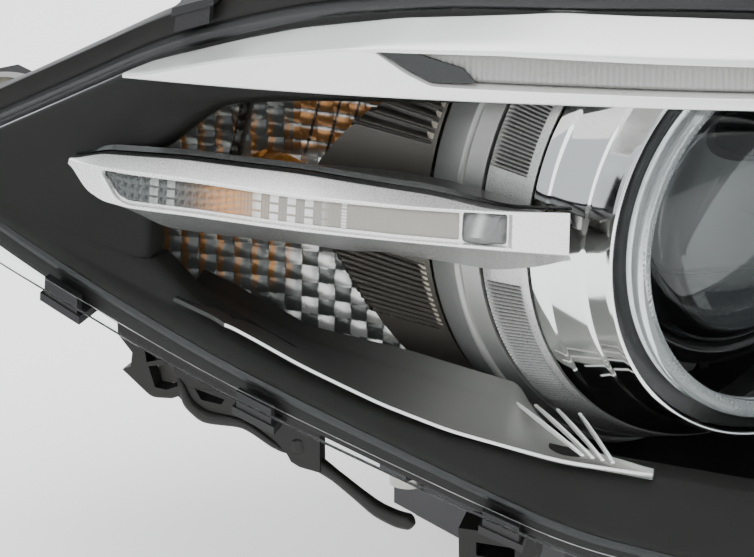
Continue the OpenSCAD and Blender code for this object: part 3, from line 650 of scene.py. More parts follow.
def make_bracket():
    """Moulded foot under the outer end: a webbed frame, a hooked arm and a square tab."""
    s = np.linspace(49.4, 55.5, 14)
    outer = [(55.44, -31.2), (55.0, -35.4), (55.04, -39), (55.3, -40.1), (54.5, -45.6), (54.2, -46), (53.6, -45.2),
             (53.3, -47.6), (53.05, -49.4), (52.7, -50.3), (52.2, -49.8), (51.5, -50.4), (50.4, -56.6),
             (50.25, -59), (50.0, -60.2), (49.4, -61.2)]
    roof = list(zip(s, z_low(s) - 4.2))
    windows = [[(54.62, -34.4), (54.1, -36.2), (54.55, -37.4)],
               [(54.5, -38.4), (53.75, -36.9), (53.6, -42.6), (53.95, -43.9), (54.3, -43.6)],
               [(53.1, -42.6), (52.2, -44.6), (52.3, -46), (52.9, -45.4)]]
    mat = housing_plastic()
    plate("foot_frame", roof + outer, windows, (24.5, 29.5), mat, "housing_black", replaces=("lower_bracket",),
          sharp=30)
    web = [(54.7, -33.4), (53.3, -35.6), (53.2, -44.2), (54.4, -44.6)]
    plate("foot_web", web, [], (31, 32), finish("web_grey", (0.075, 0.073, 0.066), 0.5, 0, 0.15, 1.5, 0.02),
          "housing_black")
    for name, path, radii in (
            ("foot_rim_low", [(55.3, -40, 26), (54.4, -45.6, 26), (53.6, -45.2, 26)], [0.8, 1.3, 1.2]),
            ("foot_rim_mid", [(53.6, -40, 25), (53.3, -46.6, 24.6), (52.8, -49.8, 24.6), (51.6, -50.2, 25),
                              (50.4, -57, 25)], [0.9, 1.5, 1.7, 1.3, 1.0]),
            ("foot_boss", [(50.1, -51, 27), (50.0, -58.4, 27)], [2.6, 3.2]),
            ("foot_hook", [(49.9, -57.6, 27), (49.0, -62.6, 27), (48.4, -66.6, 27), (47.8, -70.6, 27),
                           (47.2, -72.8, 27), (46.7, -73.3, 27)], [2.2, 1.6, 1.7, 2.0, 2.2, 2.1])):
        bar(name, path, radii, mat, "housing_black")
    plate("foot_tab", [(45.4, -72.5), (45.4, -80.6), (45.1, -82), (43.4, -83), (43.2, -82.2), (43.2, -74)],
          [[(44.9, -76), (44.9, -79.6), (43.8, -80.6), (43.8, -77)]], (24, 36), mat, "housing_black", sharp=30)


# ---- trim seen through the lens ----
class HEADLAMP_OT_bezel(bpy.types.Operator):
    """Dark textured bezel between the lens edge and the openings"""

    bl_idname = "headlamp.bezel"
    bl_label = "Bezel"

    def execute(self, context):
        make_bezel()
        return {"FINISHED"}


open_top = line([(6, 24), (12, 34), (20, 36), (44, 36), (50, 33), (53, 30), (54.4, 14), (70, 4)])
open_low = line([(6, -22), (12, -42), (18, -54), (26, -60), (36, -60), (40, -54.6), (42.4, -51.8), (45.5, -46),
                 (47.4, -40.8), (49.7, -33), (51.2, -27.2), (52.7, -21), (54.4, -8), (70, 0)], 0.5)


def mouth(d, grow, n=220):
    """Loop round the openings, grow mm outside them and d mm deep."""
    u = np.linspace(0, 1, n)
    s = 7 - grow * PER_MM + (47.4 + 2 * grow * PER_MM) * u
    return np.concatenate([face(s, open_top(s) + grow, d), face(s[::-1], open_low(s[::-1]) - grow, d)])


def make_bezel():
    """Dished collar: from the openings out to the lens edge, in one smooth section."""
    ctrl = np.stack([mouth(26, -0.2), mouth(23, 0.2), mouth(19.5, 1.6), rim(5.2, 16.6), rim(3.9, 17.0)], 1)
    p = rounded(ctrl, [0, 1.0, 4, 1.2, 0])
    p = spread(p, [3] * (p.shape[1] - 1))
    shell("bezel_skin", p[:, ::-1], 1.6, bezel_plastic(), "bezel_grey", wrap_u=True, replaces=("inner_bezel",))


class HEADLAMP_OT_eyebrow(bpy.types.Operator):
    """Bright eyebrow bar with its recess, ribbed light bar and the dark pane at the bar's outer end"""

    bl_idname = "headlamp.eyebrow"
    bl_label = "Eyebrow"

    def execute(self, context):
        make_eyebrow()
        make_light_bar()
        make_bar_wedge()
        return {"FINISHED"}


brow_top = line([(6, 33), (12, 45), (20, 53), (30, 57.5), (39, 58.6), (42.8, 58.6), (47.2, 55.4), (50.1, 51.2),
                 (51.9, 46.9), (53.7, 41.9), (54.8, 38.6)], 0.4)
brow_low = line([(6, 26), (12, 33), (20, 38), (30, 39.4), (42, 39.4), (47, 38.8), (54.8, 37.6)])
brow_mid = line([(6, 29), (12, 40), (20, 49.5), (30, 52), (44, 52), (48, 50.4), (51.7, 45.4), (53, 42.4),
                 (54.8, 38.2)])
bar_low = line([(9, 34), (20, 41.4), (30, 42.2), (42, 42.4), (46.1, 42.2), (46.8, 44.6), (47.7, 49)], 0.15)
bar_top = line([(9, 35.5), (20, 45.4), (30, 49), (40, 49.6), (44.3, 50), (47.7, 49.1)], 0.15)


def make_eyebrow():
    """Section rows from the underside forward and up; the light bar's pocket sinks
    6 mm inboard of about 47.6 degrees."""
    s = np.concatenate([np.linspace(9, 46, 150), np.linspace(46.05, 48, 50), np.linspace(48.1, 54.85, 70)])
    sink = 6 * step(47.7, 47.45, s)
    low, top = bar_low(np.minimum(s, 47.7)), bar_top(np.minimum(s, 47.7))
    past = step(47.6, 49.5, s)
    low = low * (1 - past) + (brow_mid(s) - 0.05) * past
    top = top * (1 - past) + brow_mid(s) * past
    low = np.minimum(low, brow_mid(s) - 0.6)
    low = np.maximum(low, brow_low(s) + 0.35)
    top = np.clip(top, low + 0.02, brow_mid(s) - 0.3)
    rows = [(brow_low(s) - 2.6, 33), (brow_low(s), 6.9), (low - 0.02, 6.5), (low, 6.5 + sink), (top, 6.6 + sink),
            (top + 0.02, 6.6), (brow_mid(s), 6.9), (brow_top(s), 15.8), (brow_top(s) - 1, 19)]
    p = swept(s, rows, [0, 0.7, 0.35, 0.3, 0.3, 0.4, 3.0, 1.2, 0])
    shell("eyebrow_skin", p, 0.7, satin_chrome(), "trim_chrome", replaces=("eyebrow_trim",), sharp=50)


def make_light_bar():
    """Frosted bar of fine upright ribs: depth 10 less a rib wave of 0.3 mm every 1.5 mm, deeper at both edges."""
    s = np.linspace(11.5, 46.75, 2000)
    t = np.linspace(0, 1, 9)
    low = bar_low(s)[:, None] + 0.35
    top = bar_top(s)[:, None] - 0.35
    z = low + (top - low) * t
    wave = 0.3 * np.abs(np.sin(np.pi * s / (1.5 * PER_MM)))[:, None] * np.sin(np.pi * np.clip(t, 0.02, 0.98)) ** 0.3
    d = 10.0 - wave + 1.2 * (np.abs(2 * t - 1) ** 6)
    mat = finish("frosted_bar", (0.36, 0.35, 0.33), 0.3, 0, 0.05, 0.8, 0.01, coat=0.6)
    shell("light_bar_skin", face(s[:, None], z, d), 1.6, mat, "light_guide", replaces=("eyebrow_light_guide",))


def make_bar_wedge():
    """Dark pane in the slanted outer end of the bar's pocket."""
    wedge = [(47.62, 48.7), (46.6, 48.9), (45.3, 46.2), (44.9, 43), (46.2, 42.6)]
    plate("bar_wedge", wedge, [], (8.6, 9.4), dark_gloss(), "dark_plastic")


class HEADLAMP_OT_fin(bpy.types.Operator):
    """Side fin: bright trim, ribbed light guide and small clear lens"""

    bl_idname = "headlamp.fin"
    bl_label = "Side fin"

    def execute(self, context):
        make_fin()
        make_fin_guide()
        return {"FINISHED"}


fin_front_top = line([(42.1, 14.5), (44.1, 13.9), (46.8, 13.9), (49.6, 14.4), (53, 15.7), (55.45, 16),
                      (56.3, 17)], 0.4)
fin_front_low = line([(42.1, 4.2), (44, 4.5), (46.8, 5.1), (49.5, 5.6), (52.6, 6.6), (54.4, 6.8), (55.2, 7.8),
                      (55.7, 10), (56.1, 14.4), (56.3, 16.4)], 0.15)
fin_ridge = line([(42.1, 14.6), (44.2, 14.1), (46.9, 15.9), (49.8, 18), (53.2, 18.6), (55.6, 17.6),
                  (56.3, 17.2)], 0.5)
fin_rear_top = line([(42.2, 10.4), (44.4, 13.2), (47.3, 15.2), (50.2, 15.6), (53.8, 16.4), (56.3, 17)], 0.5)
fin_rear_low = line([(42.2, 2), (43, -1.5), (44.3, -5.6), (48.9, -7.4), (51.6, -4.6), (54, -1), (55.2, 6.4),
                     (56.3, 16.4)], 0.4)
fin_depth = line([(42.2, 12), (43, 16), (44, 21), (46, 27), (48, 28), (54, 24), (55.4, 18), (56.3, 10)], 0.2)
fin_under = line([(42.2, 12), (43, 16), (44, 22), (46, 29), (48, 35), (50, 33), (52, 27), (54.4, 18), (55.4, 11),
                  (56.3, 7.5)], 0.2)
window_top = line([(43.8, 13.4), (46.8, 13.4), (49.6, 13.8), (52.4, 15), (54.8, 15.3), (55.4, 15.4)], 0.2)
window_low = line([(43.8, 5.5), (46.8, 5.9), (49.5, 6.6), (52.4, 7.6), (54.5, 7.8), (54.8, 9), (55.3, 15.2)], 0.1)


def make_fin():
    """Blade section: underside, front lip, pocket for the window, bright upper chamfer, top falling to the rear. The
    underside and the top are painted darker than the front as shade.
    """
    s = np.concatenate([np.linspace(42.2, 43.7, 14), np.linspace(43.72, 44.0, 16), np.linspace(44.05, 54.6, 90),
                        np.linspace(54.65, 56.25, 60)])
    inside = step(43.72, 43.86, s) * step(55.3, 55.15, s)
    low = np.maximum(window_low(s), fin_front_low(s) + 0.5)
    top = np.minimum(window_top(s), fin_front_top(s) - 0.4)
    top = np.maximum(top, low + 0.02)
    sink = 1.5 * inside
    front = 6.7
    ridge_back = 7.2 + 5 * step(43.6, 46.5, s) * step(56.3, 55.4, s)
    rows = [(fin_rear_low(s), fin_under(s)), (fin_front_low(s) - 0.15, front + 1.0), (fin_front_low(s) + 0.3, front),
            (low, front), (low + 0.05, front + sink), (top - 0.05, front + sink), (top, front),
            (fin_front_top(s), front), (fin_ridge(s), ridge_back),
            (np.minimum(fin_rear_top(s), fin_ridge(s) - 0.2), np.maximum(fin_depth(s), ridge_back + 0.5))]
    p = swept(s, rows, [0, 0.9, 0.4, 0.3, 0.2, 0.2, 0.3, 0.5, 0.8, 0])
    row = np.arange(p.shape[1])[None]
    # Painted shade: the underside rows and the top rows of the satin fin are tinted darker than its bright front.
    under = (0.24 + 0.3 * step(52, 43, s))[:, None]
    roof = (0.06 + 0.05 * step(50, 44, s))[:, None]
    tone = np.where(row < 5, under, np.where(row > p.shape[1] - 5, roof, 0.84))
    shell("fin_skin", p, 0.5, tinted_finish("fin_satin", 0.3, metal=0.55, grain=3.0, height=0.002), "trim_chrome",
          replaces=("fin_trim",), sharp=50, values=tone[..., None] * np.array([1.0, 0.985, 0.955]))
    # A dark sheet just behind the ridge stands in for the shadow there.
    edge = np.stack([(fin_ridge(s) - 0.1), fin_ridge(s) + 0.9 * step(56.25, 55.2, s) * step(43, 46, s)], 1)
    back = np.stack([ridge_back + 3.5, ridge_back + 4.5], 1)
    shell("fin_shadow_lip", face(s[:, None], edge, back), 0.5, dark_gloss(), "dark_plastic")


def make_fin_guide():
    """Fin window: three stacked rows of small pillow ribs at the tip, painted amber glow behind them, then a plain
    grey run.
    """
    s = np.linspace(45.2, 55.2, 1200)[:, None]
    t = np.linspace(0, 1, 37)[None]
    low, top = window_low(s) + 0.25, np.maximum(window_top(s) - 0.25, window_low(s) + 0.35)
    z = low + (top - low) * t
    tip = step(51.0, 52.4, s)
    beads = np.abs(np.sin(np.pi * s / (1.9 * PER_MM))) * np.abs(np.sin(3 * np.pi * t)) * 0.3
    ribs = 0.04 * np.abs(np.sin(np.pi * s / (0.9 * PER_MM))) + 0 * t
    d = 7.9 - tip * beads - (1 - tip) * ribs + 1.4 * np.abs(2 * t - 1) ** 12
    # Painted glow: the amber bulb's light is laid into the guide's colour round 51.6 degrees.
    glow = np.exp(-((s - 51.6) / 0.75) ** 2) * (0.75 + 0.25 * np.sin(9 * t * np.pi + s * 8))
    # Bright beads where the pillows catch the light, and one dashed upright line inboard of them.
    spots = (np.abs(np.sin(s * 6.4)) > 0.72) * (np.abs((t * 3) % 1 - 0.5) < 0.34)
    clear = np.array([0.27, 0.245, 0.21]) * (1 + 0.05 * np.sin(2 * np.pi * s / (0.45 * PER_MM)))[..., None]
    smoked = np.array([0.028, 0.032, 0.03])[None, None]
    colour = lay(clear, smoked, step(50.6, 52.6, s))
    colour = lay(colour, np.array(settings().amber) * 0.9, glow)
    white = spots * (step(48.7, 49.4, s) * step(51.2, 50.6, s) * 0.9
                     + step(52.9, 53.2, s) * step(54.2, 54.0, s) * 0.3)
    white = np.maximum(white, (np.abs(s - 48.35) < 0.07) * ((t * 9) % 1 < 0.6) * 0.8)
    colour = lay(colour, np.array([0.85, 0.83, 0.80]), white)
    # Painted shade: the guide is darkened along its top and bottom edges, where it tucks into the fin's pocket.
    painted_edge_shade = (np.abs(2 * t - 1) ** 24)[..., None] * np.ones_like(s)[..., None] * 0.8
    colour = colour * (1 - painted_edge_shade)
    mat = tinted_finish("fin_guide", 0.22, coat=0.8, grain=0.8, height=0.01)
    shell("fin_guide_skin", face(s, z, d), 1.2, mat, "light_guide", replaces=("fin_light_guide",), values=colour)
    s = np.linspace(43.86, 45.14, 60)[:, None]
    u = np.linspace(-1, 1, 60)[:, None]
    t = np.linspace(-1, 1, 60)[None]
    corner = np.clip(1 - np.abs(u) ** 8 - np.abs(t) ** 8, 0, 1) ** 0.5
    d = 9.4 - 2.2 * corner + 0.25 * np.sin(5 * u + 2 * t) * corner
    # Painted highlight: a bright slanted band across the small clear lens; painted shade darkens it towards its rim.
    grey = 0.07 + 0.34 * np.exp(-((u + 0.15 * t - 0.25) / 0.22) ** 2) * (t > -0.55) + 0.04 * step(0.86, 1.0, corner)
    colour = np.clip(grey, 0, 0.9)[..., None] * np.array([1, 0.99, 0.97])
    colour = colour * (0.15 + 0.85 * step(0.2, 0.75, corner))[..., None]
    mat = tinted_finish("marker_clear", 0.08, coat=1.0, grain=0.4, height=0.01)
    shell("fin_marker_skin", face(s, 9.5 + t * 4.0, d), 1.0, mat, "clear_optic", replaces=("fin_marker_lens",),
          values=colour)


class HEADLAMP_OT_reflector(bpy.types.Operator):
    """Turn signal reflector of square pillow facets"""

    bl_idname = "headlamp.reflector"
    bl_label = "Turn signal reflector"

    def execute(self, context):
        make_reflector(settings().reflector_cell / MM)
        return {"FINISHED"}


turn_hi = line([(44, 33), (50, 32), (53, 30), (54.4, 25), (55.4, 16), (56, 5)], 0.3)
turn_lo = line([(44, -44), (48, -42), (52, -36), (54.4, -31), (55.2, -24), (56, -12)], 0.3)


def reflector_depth(s, z):
    """Bowl of the reflector: 50 mm deep at its outer edge, 64 in the middle."""
    t = (z - turn_lo(s)) / (turn_hi(s) - turn_lo(s))
    return 50 + 14 * np.sin(np.pi * np.minimum(1, (55.9 - s) / 14)) * (1 - 0.25 * (2 * t - 1) ** 2)


def lay(colour, new, amount):
    """Colour with a new one laid over it by an amount from 0 to 1."""
    return colour + (new - colour) * np.clip(amount, 0, 1)[..., None]


def from_divide(s, z):
    """Degrees between a place on the reflector and its leaning dark divide."""
    return np.abs(s - 53.03 - (21.9 - z) * 0.024)


def reflector_colour(s, z, u, v, odd):
    """Colour of the facets: silver, each cell painted lighter on one side by its lean as shading, with painted amber
    reflections in streaks and wedges where they mirror the bulb, painted pale highlights on the upper cells, pale
    and dark cells in turn at the lower inboard corner as painted reflections, and two dark divides."""
    amber = np.array(settings().amber)
    silver = np.array([0.20, 0.205, 0.19])
    pale = np.array([0.86, 0.84, 0.80])
    dark = np.array([0.035, 0.03, 0.025])
    soft = 0.5 + 0.5 * np.sin(2.1 * s + 0.35 * z) * np.sin(0.9 * s - 0.21 * z)
    # Painted shading: each cell is lighter towards one side by the way it leans, over broad waves of brightness.
    colour = silver * (0.62 + 0.5 * soft + 0.25 * v * odd)[..., None]

    up, low = z > -1, z < -8
    streak = step(0.24, 0.10, np.abs(u + 0.28 - 0.18 * v)) * (0.55 + 0.45 * soft)
    wedges = 0.85 * up * (s < 51.7) * (s > 48.8) * step(6, 9, z) * step(0.47, 0.36, np.abs(v))
    bars = [step(0.06, 0.035, np.abs(s - c - (20.9 - z) * 0.03)) * up for c in (50.9, 50.25, 49.65)]
    # Painted reflections and highlights laid in turn: amber streaks and wedges of the bulb, pale cells and pale cell
    # tops, and the pale and dark chequer at the lower inboard corner; the colour also goes darker towards the
    # outboard edge and the bottom.
    for new, amount in (
            (amber * 0.6, streak * up * (s > 51.7) * step(19, 12, z)),
            (dark, 0.75 * up * step(55.1, 55.6, s)),
            (amber * (0.75 + 0.3 * v)[..., None], wedges),
            (pale, 0.8 * up * (s < 52.6) * step(8, 5, z) * (0.45 + 0.55 * (odd > 0))),
            (pale, 0.75 * up * (s < 51.7) * step(0.30, 0.42, v)),
            (amber * 0.62, streak * low * (s > 51.2) * step(-30, -24, z)),
            (silver * 0.4, 0.6 * low * (s > 51.4) * step(-24, -30, z)),
            (pale, low * step(52.0, 51.2, s) * (odd > 0) * (0.7 + 0.3 * soft)),
            (silver * 0.55, 0.7 * low * step(52.0, 51.2, s) * (odd < 0)),
            (dark, step(0.17, 0.11, from_divide(s, z)) * up),
            (dark, sum(bars) * step(5, 8, z))):
        colour = lay(colour, new, amount)
    return colour


def make_reflector(cell):
    """Bowl cut in square cells: each bulges by a parabola and leans up or down in turn like a chequer board."""
    s = np.linspace(47.2, 56.0, 230)[:, None]
    t = np.linspace(0, 1, 200)[None]
    z = turn_lo(s) + (turn_hi(s) - turn_lo(s)) * t
    col = (56.0 - s) / (cell * PER_MM * 1.1) + 0.012 * z
    row = (z + 100.0) / (cell * 0.93) + 0.10 * col
    u, v = col % 1 - 0.5, row % 1 - 0.5
    odd = (np.floor(col) + np.floor(row)) % 2 * 2 - 1
    d = reflector_depth(s, z) - 0.9 * (0.25 - u * u) - 1.1 * (0.25 - v * v) + 0.3 * odd * v
    d = d - 1.6 * step(0.2, 0.1, from_divide(s, z)) * (z > -1)
    mat = tinted_finish("reflector_silver", 0.24, metal=0.45, grain=0.6, height=0.004)
    shell("reflector_skin", face(s, z, d), 1.2, mat, "reflector", values=reflector_colour(s, z, u, v, odd),
          replaces=("turn_reflector",), sharp=20)


class HEADLAMP_OT_side_panels(bpy.types.Operator):
    """Dark side panels with louvres, and the tray with its fan of ribs"""

    bl_idname = "headlamp.side_panels"
    bl_label = "Side panels and tray"

    def execute(self, context):
        make_side_panels()
        make_tray()
        make_tray_ribs()
        return {"FINISHED"}


# Radius at which both side panels meet the satin band.
PANEL_R = 68.8


def make_side_panels():
    """Cone bands about the low beam axis, from the satin band out to the reflector: the upper one with eight long
    radial louvres that end in bright hooks, the lower one with finer slanted ones that end in bright dashes. The
    slots are painted darker as shade, and the hooks and dashes are painted highlights."""
    for name, node, pitch, lean, cut, edge in (
            ("upper_panel", "louvre_panel_upper", 2.3, 0.0, (146, 164),
             [(146, 70.4), (150, 72.5), (157.4, 76.6), (165.4, 83), (171.3, 86.3), (176, 88)]),
            ("lower_panel", "louvre_panel_lower", 1.25, 6.6, (190, 204.6),
             [(184, 85), (188.9, 82.5), (197, 80), (206.4, 77.6), (216, 75), (226, 73)])):
        deg = np.linspace(edge[0][0], edge[-1][0], 360)[:, None]
        t = np.linspace(0, 1, 90)[None]
        outer = np.interp(deg, *np.array(edge).T)
        r = PANEL_R + (outer - PANEL_R) * t
        y = 57.2 + (r - PANEL_R) * 1.25
        across = deg + lean * t
        cell = (across / pitch) % 1
        cut_here = (across > cut[0]) * (across < cut[1])
        slots = cut_here * step(0.06, 0.10, t)
        y = y + slots * 1.5 * step(0.0, 0.2, cell) * step(1.0, 0.45, cell)
        # Painted shade: each louvre slot is darkened, by an amount that waves round the band.
        slot_shade_wave = 0.55 + 0.45 * np.sin(deg * 0.9 + 3 * t) ** 2
        shade = 1 - 0.82 * slots * step(0.12, 0.4, cell) * step(0.95, 0.6, cell) * slot_shade_wave
        # Painted highlights: a short bright mark where each louvre starts.
        louvre_end_highlights = cut_here * (np.abs(t - 0.08) < 0.022) * (cell > 0.35) * (cell < 0.85)
        warm = np.array([0.075, 0.067, 0.056])
        colour = warm * (shade + 7 * louvre_end_highlights)[..., None]
        a = np.radians(deg)
        p = np.stack([r * np.cos(a), y, r * np.sin(a)], -1) * MM + RING
        shell(name + "_skin", p, 1.2, tinted_finish("panel_grey", 0.42, metal=0.35, grain=3.0, height=0.03),
              "trim_graphite", replaces=(node,), values=colour)


tray_front = line([(39.8, -53), (42.4, -50.3), (45.5, -44.2), (47.4, -38.8), (49.7, -30.8), (51.15, -25),
                   (52, -22)], 0.4)
tray_back = line([(39.8, -52.7), (42.6, -49), (43.5, -44), (43.9, -38.2), (47.4, -32), (50, -28.3), (52, -24)], 0.2)
tray_depth = line([(39.8, 18.5), (42, 26), (43.7, 36), (47, 38), (52, 37)], 0.3)


def make_tray():
    """Satin shelf, darker outboard, with a thin bright front lip."""
    s = np.linspace(39.9, 51.9, 220)
    rows = [(tray_front(s) - 0.9, 18.0), (tray_front(s), 15.9), (tray_front(s) + 0.7, 16.3)]
    shell("tray_lip", swept(s, rows, 0.5), 0.7, satin_chrome(), "trim_chrome")
    s = np.linspace(39.9, 53.4, 240)
    front = np.where(s < 51.9, tray_front(s), tray_front(s) + (s - 51.9) * 3) + 0.6
    back = np.where(s < 51.9, tray_back(s), tray_back(s) + (s - 51.9) * 2)
    rows = [(front, 16.5 + 0 * s), (np.maximum(back, front + 0.3), tray_depth(s))]
    ctrl = spread(np.stack([np.stack(r, -1) for r in rows], 1), [24])
    u = np.linspace(0, 1, 25)
    sag = np.sin(np.pi * u) * 1.2
    tone = 0.03 + 0.3 * step(51.5, 40.5, s)[:, None] * (0.8 + 0.2 * u) - 0.012 * np.exp(-((u - 0.72) / 0.05) ** 2)
    shell("tray_skin", face(s[:, None], ctrl[..., 0] - sag, ctrl[..., 1]), 1.0,
          tinted_finish("tray_satin", 0.36, metal=0.5, grain=4.0, height=0.01), "trim_silver",
          replaces=("tray_panel",),
          values=tone[..., None] * np.array([1.0, 0.99, 0.93]))


def make_tray_ribs():
    """Fan of four thin blades at the inboard end of the tray."""
    for i in range(4):
        u = np.linspace(0, 1, 24)[:, None]
        ring = np.array([(-0.05, 0), (-0.05, 0.9), (-0.02, 1.1), (0.02, 1.1), (0.05, 0.9), (0.05, 0)])
        s = 41.0 + i * 0.28 + (1.1 + 0.35 * i) * u + ring[:, 0]
        z = -50.4 + 0.5 * i + (6.4 + 0.3 * i) * u + ring[:, 1] * np.sin(np.pi * np.clip(u, 0.04, 0.96)) ** 0.4
        d = 17.5 + 15 * u + 0 * ring[:, 0]
        tube("tray_rib_%d" % i, face(s, z, d), satin_chrome(), "trim_chrome", wrap_u=False,
             replaces=("tray_ribs",) if i == 0 else ())


# ---- lamp rings ----
class HEADLAMP_OT_rings(bpy.types.Operator):
    """Both ringed barrels: satin band, ribbed collar, bright cone, toothed rim and halo"""

    bl_idname = "headlamp.rings"
    bl_label = "Lamp rings"

    def execute(self, context):
        for side, at, k, up, down in (("low", RING, 1.0, 50, -66), ("high", HIGH_RING, HIGH_K, 44, -52)):
            make_ring(side, at, k, up, down)
        return {"FINISHED"}


def clipped(p, at, up, down):
    """Keeps a turned piece between two heights by sliding what is past them back along its radius."""
    z = (p[..., 2] - at[2]) / MM
    lim = np.where(z > up, up / np.maximum(z, 1e-6), np.where(z < down, down / np.minimum(z, -1e-6), 1))
    q = p.copy()
    q[..., 2] = at[2] + (p[..., 2] - at[2]) * lim
    return q


def make_ring(side, at, k, up, down):
    """The four turned pieces of one barrel, from the front back."""
    teeth = settings().halo_teeth
    ribs = settings().collar_ribs

    def piece(end, node, p, mat, slot, sharp, **rest):
        tube(side + end, p, mat, slot, replaces=(side + node,), sharp=sharp, **rest)

    def toothed(a, i):
        wave = 0.35 * (((a * teeth / (2 * np.pi)) % 1) < 0.5)
        return wave * ((i > 2) & (i < 9))

    halo = fillet([(43.0, 0.4), (44.2, -0.5), (46.2, -0.5), (47.0, 0.6), (47.0, 5.3), (43.0, 5.3)], 0.5, 4)
    acrylic = glass_finish("halo_acrylic", (0.85, 0.88, 0.88), 0.08, 1.46, 0.85)
    piece("_halo", "_halo_ring", turned(halo, at, k, teeth * 6, wave=toothed), acrylic, "clear_optic", 25)

    def rim_teeth(a, i):
        wave = 0.28 * np.abs(np.sin(a * teeth * 0.9))
        return -wave * (i < 5)

    cone = fillet([(52.0, 3.6), (52.7, 3.6), (53.0, 5.2), (53.9, 12.3), (54.6, 13.2), (57.6, 23.2), (58.3, 24.2),
                   (59.7, 27.2), (58.2, 28.1), (56.5, 24.8), (52.4, 13.2), (51.8, 6)], 0.35, 3)
    p = clipped(turned(cone, at, k, 720, wave=rim_teeth), at, up + 2, down - 4)
    chrome = finish("bright_chrome", (0.86, 0.86, 0.85), 0.07, 1, 0.02, 1.0, 0.001)
    piece("_cone", "_chrome_bezel", p, chrome, "trim_chrome", 30)

    def ribbed(a, i):
        deg = np.degrees(a) % 360
        blocks = ((deg > 140) & (deg < 163.8)) | ((deg > 190) & (deg < 226)) | ((deg > 8) & (deg < 60)) | \
            ((deg > 300) & (deg < 350))
        wave = 0.95 * (0.5 + 0.5 * np.cos(a * ribs)) * blocks
        return -wave * ((i > 3) & (i < 16))

    front = [(60.0, 27.8), (60.4, 28.6), (60.8, 29.6)]
    body = [(60.9 + 0.26 * j, 30.0 + 0.8 * j) for j in range(12)]
    collar = np.array(front + body + [(63.9, 39.8), (64.1, 40.9), (62.3, 41.7), (58.6, 29.0)])
    p = clipped(turned(collar, at, k, ribs * 6, wave=ribbed), at, up, down - 2)
    angle = np.linspace(0, 2 * np.pi, ribs * 6, endpoint=False)[:, None]
    # Painted shade: the collar's colour is darker down each rib groove.
    groove = -ribbed(angle, np.arange(len(collar))[None]) / 0.95
    tone = 0.62 - 0.56 * groove
    satin = tinted_finish("collar_satin", 0.3, metal=0.5, grain=3.0, height=0.003)
    piece("_collar", "_ribbed_collar", p, satin, "trim_chrome", 40,
          values=tone[..., None] * np.array([1, 0.98, 0.95]))
    band = fillet([(64.7, 41.7), (66.5, 46.6), (67.2, 46.4), (68.2, 47.0), (68.9, 55.9), (66.8, 56.5), (64.9, 48.2),
                   (62.7, 42.7)], 0.3, 3)
    p = clipped(turned(band, at, k, 360), at, up - 2, down)
    piece("_band", "_ring_base", p, silver_satin(), "trim_silver", 40)


# ---- projector ----
class HEADLAMP_OT_projector(bpy.types.Operator):
    """Projector lens, its retainer and the dark fluted shroud"""

    bl_idname = "headlamp.projector"
    bl_label = "Projector"

    def execute(self, context):
        make_projector()
        return {"FINISHED"}


def make_projector():
    """Lens dome of 35 mm radius; shroud of fine flutes round it."""
    a = np.radians(np.linspace(0, 90, 40))
    dome = [(35 * np.sin(x), 26 - 14.4 * np.cos(x)) for x in a]
    dome = [(max(r, 0.02), y) for r, y in dome] + [(35, 27.8), (20, 27.9), (0.02, 27.9)]
    tube("projector_glass", turned(dome, RING, 1, 160), glass_finish("lens_glass", (0.9, 0.95, 0.96), 0.015, 1.5),
         "clear_optic", body="projector", replaces=("projector_lens",))
    ring = fillet([(35.3, 23.2), (37, 22.2), (40.8, 25.2), (40.8, 32.8), (32.2, 32.8), (32.2, 28.4), (35.3, 28.4)],
                  0.5, 4)
    tube("retainer_skin", turned(ring, RING, 1, 200), dark_gloss(), "dark_plastic", body="projector",
         replaces=("lens_retainer",))

    def flutes(angle, i):
        return 0.35 * np.cos(angle * 120) * (i > 6)

    shroud = [(51.0, 6.0), (51.4, 14), (55.8, 25.8), (54.5, 26.8), (52.8, 22.8), (51.2, 18.9), (49.9, 15),
              (49.1, 8.2),
              (44.8, 7.3), (44.8, 6.0)]
    tube("shroud_skin", turned(shroud, RING, 1, 1440, wave=flutes), dark_gloss(), "dark_plastic",
         replaces=("low_shroud",))


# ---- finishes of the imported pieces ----
class HEADLAMP_OT_finishes(bpy.types.Operator):
    """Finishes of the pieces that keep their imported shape"""

    bl_idname = "headlamp.finishes"
    bl_label = "Finishes"

    def execute(self, context):
        paint_nodes()
        return {"FINISHED"}


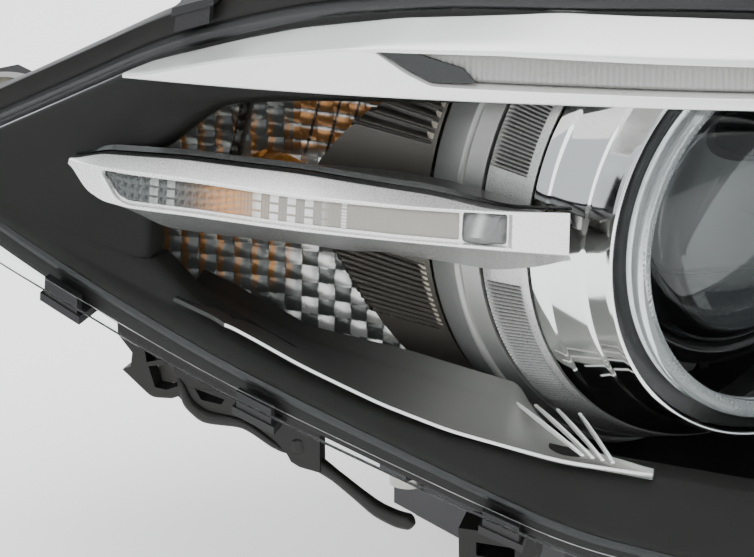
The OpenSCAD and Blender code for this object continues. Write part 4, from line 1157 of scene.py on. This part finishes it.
def paint_nodes():
    """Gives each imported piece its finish."""
    plated = finish("plated_steel", (0.55, 0.54, 0.5), 0.3, 1, 0.1, 2.0, 0.01)
    white = finish("white_nylon", (0.7, 0.69, 0.62), 0.4, 0, 0.05, 1.5, 0.01)
    glass = glass_finish("bulb_glass", (0.95, 0.95, 0.93), 0.02, 1.3)
    by_slot = {
        "housing_black": housing_plastic(),
        "dark_plastic": finish("dark_plastic", (0.014, 0.014, 0.0145), 0.4, 0, 0.15, 1.8, 0.03, spec=0.3),
        "bracket_steel": plated,
        "screw_zinc": plated,
        "cast_alloy": finish("cast_alloy", (0.05, 0.05, 0.052), 0.5, 0.5, 0.12, 1.4, 0.06),
        "white_plastic": white,
        "light_guide": white,
        "circuit_board": finish("circuit_green", (0.02, 0.16, 0.07), 0.35, 0, 0.2, 1.0, 0.01, coat=0.4),
        "bulb_glass": glass,
        "clear_optic": glass,
        "lens_clear": glass,
        "amber_glass": glass_finish("amber_glass", tuple(settings().amber), 0.05, 1.3, 0.7),
        "seal_red": finish("silicone_red", (0.3, 0.05, 0.03), 0.5, 0, 0.1, 1.0, 0.02),
        "seal_rubber": finish("vent_rubber", (0.02, 0.02, 0.02), 0.6, 0, 0.2, 1.0, 0.03),
        "reflector": finish("bowl_mirror", (0.85, 0.85, 0.84), 0.06, 1, 0.02, 0.5, 0.002),
        "trim_chrome": satin_chrome(),
        "trim_graphite": finish("graphite_satin", (0.17, 0.155, 0.135), 0.42, 0.5, 0.1, 3.0, 0.03),
        "trim_silver": silver_satin(),
        "bezel_grey": bezel_plastic()}
    for part in frame["record"]["subparts"]:
        node = frame["nodes"][part["node"]]
        for holder in node.material_slots:
            holder.link = "OBJECT"
            holder.material = by_slot[part["material_slot"]]


class HEADLAMP_PT_panel(bpy.types.Panel):
    """Shows the settings and a button for each set of pieces"""

    bl_label = "Headlamp"
    bl_idname = "HEADLAMP_PT_panel"
    bl_space_type = "VIEW_3D"
    bl_region_type = "UI"
    bl_category = "Headlamp"

    def draw(self, context):
        for name in HeadlampSettings.__annotations__:
            self.layout.prop(context.scene.headlamp, name)
        for operator in OPERATORS:
            self.layout.operator(operator.bl_idname)


OPERATORS = (HEADLAMP_OT_stage, HEADLAMP_OT_lens, HEADLAMP_OT_housing, HEADLAMP_OT_bezel, HEADLAMP_OT_eyebrow,
             HEADLAMP_OT_fin, HEADLAMP_OT_reflector, HEADLAMP_OT_side_panels, HEADLAMP_OT_rings,
             HEADLAMP_OT_projector, HEADLAMP_OT_finishes)
CLASSES = (HeadlampSettings, HEADLAMP_PT_panel) + OPERATORS


def register():
    for c in CLASSES:
        bpy.utils.register_class(c)
    bpy.types.Scene.headlamp = bpy.props.PointerProperty(type=HeadlampSettings)


def unregister():
    del bpy.types.Scene.headlamp
    for c in reversed(CLASSES):
        bpy.utils.unregister_class(c)


def main():
    register()
    for operator in OPERATORS:
        group, name = operator.bl_idname.split(".")
        getattr(getattr(bpy.ops, group), name)()


if __name__ == "__main__":
    main()
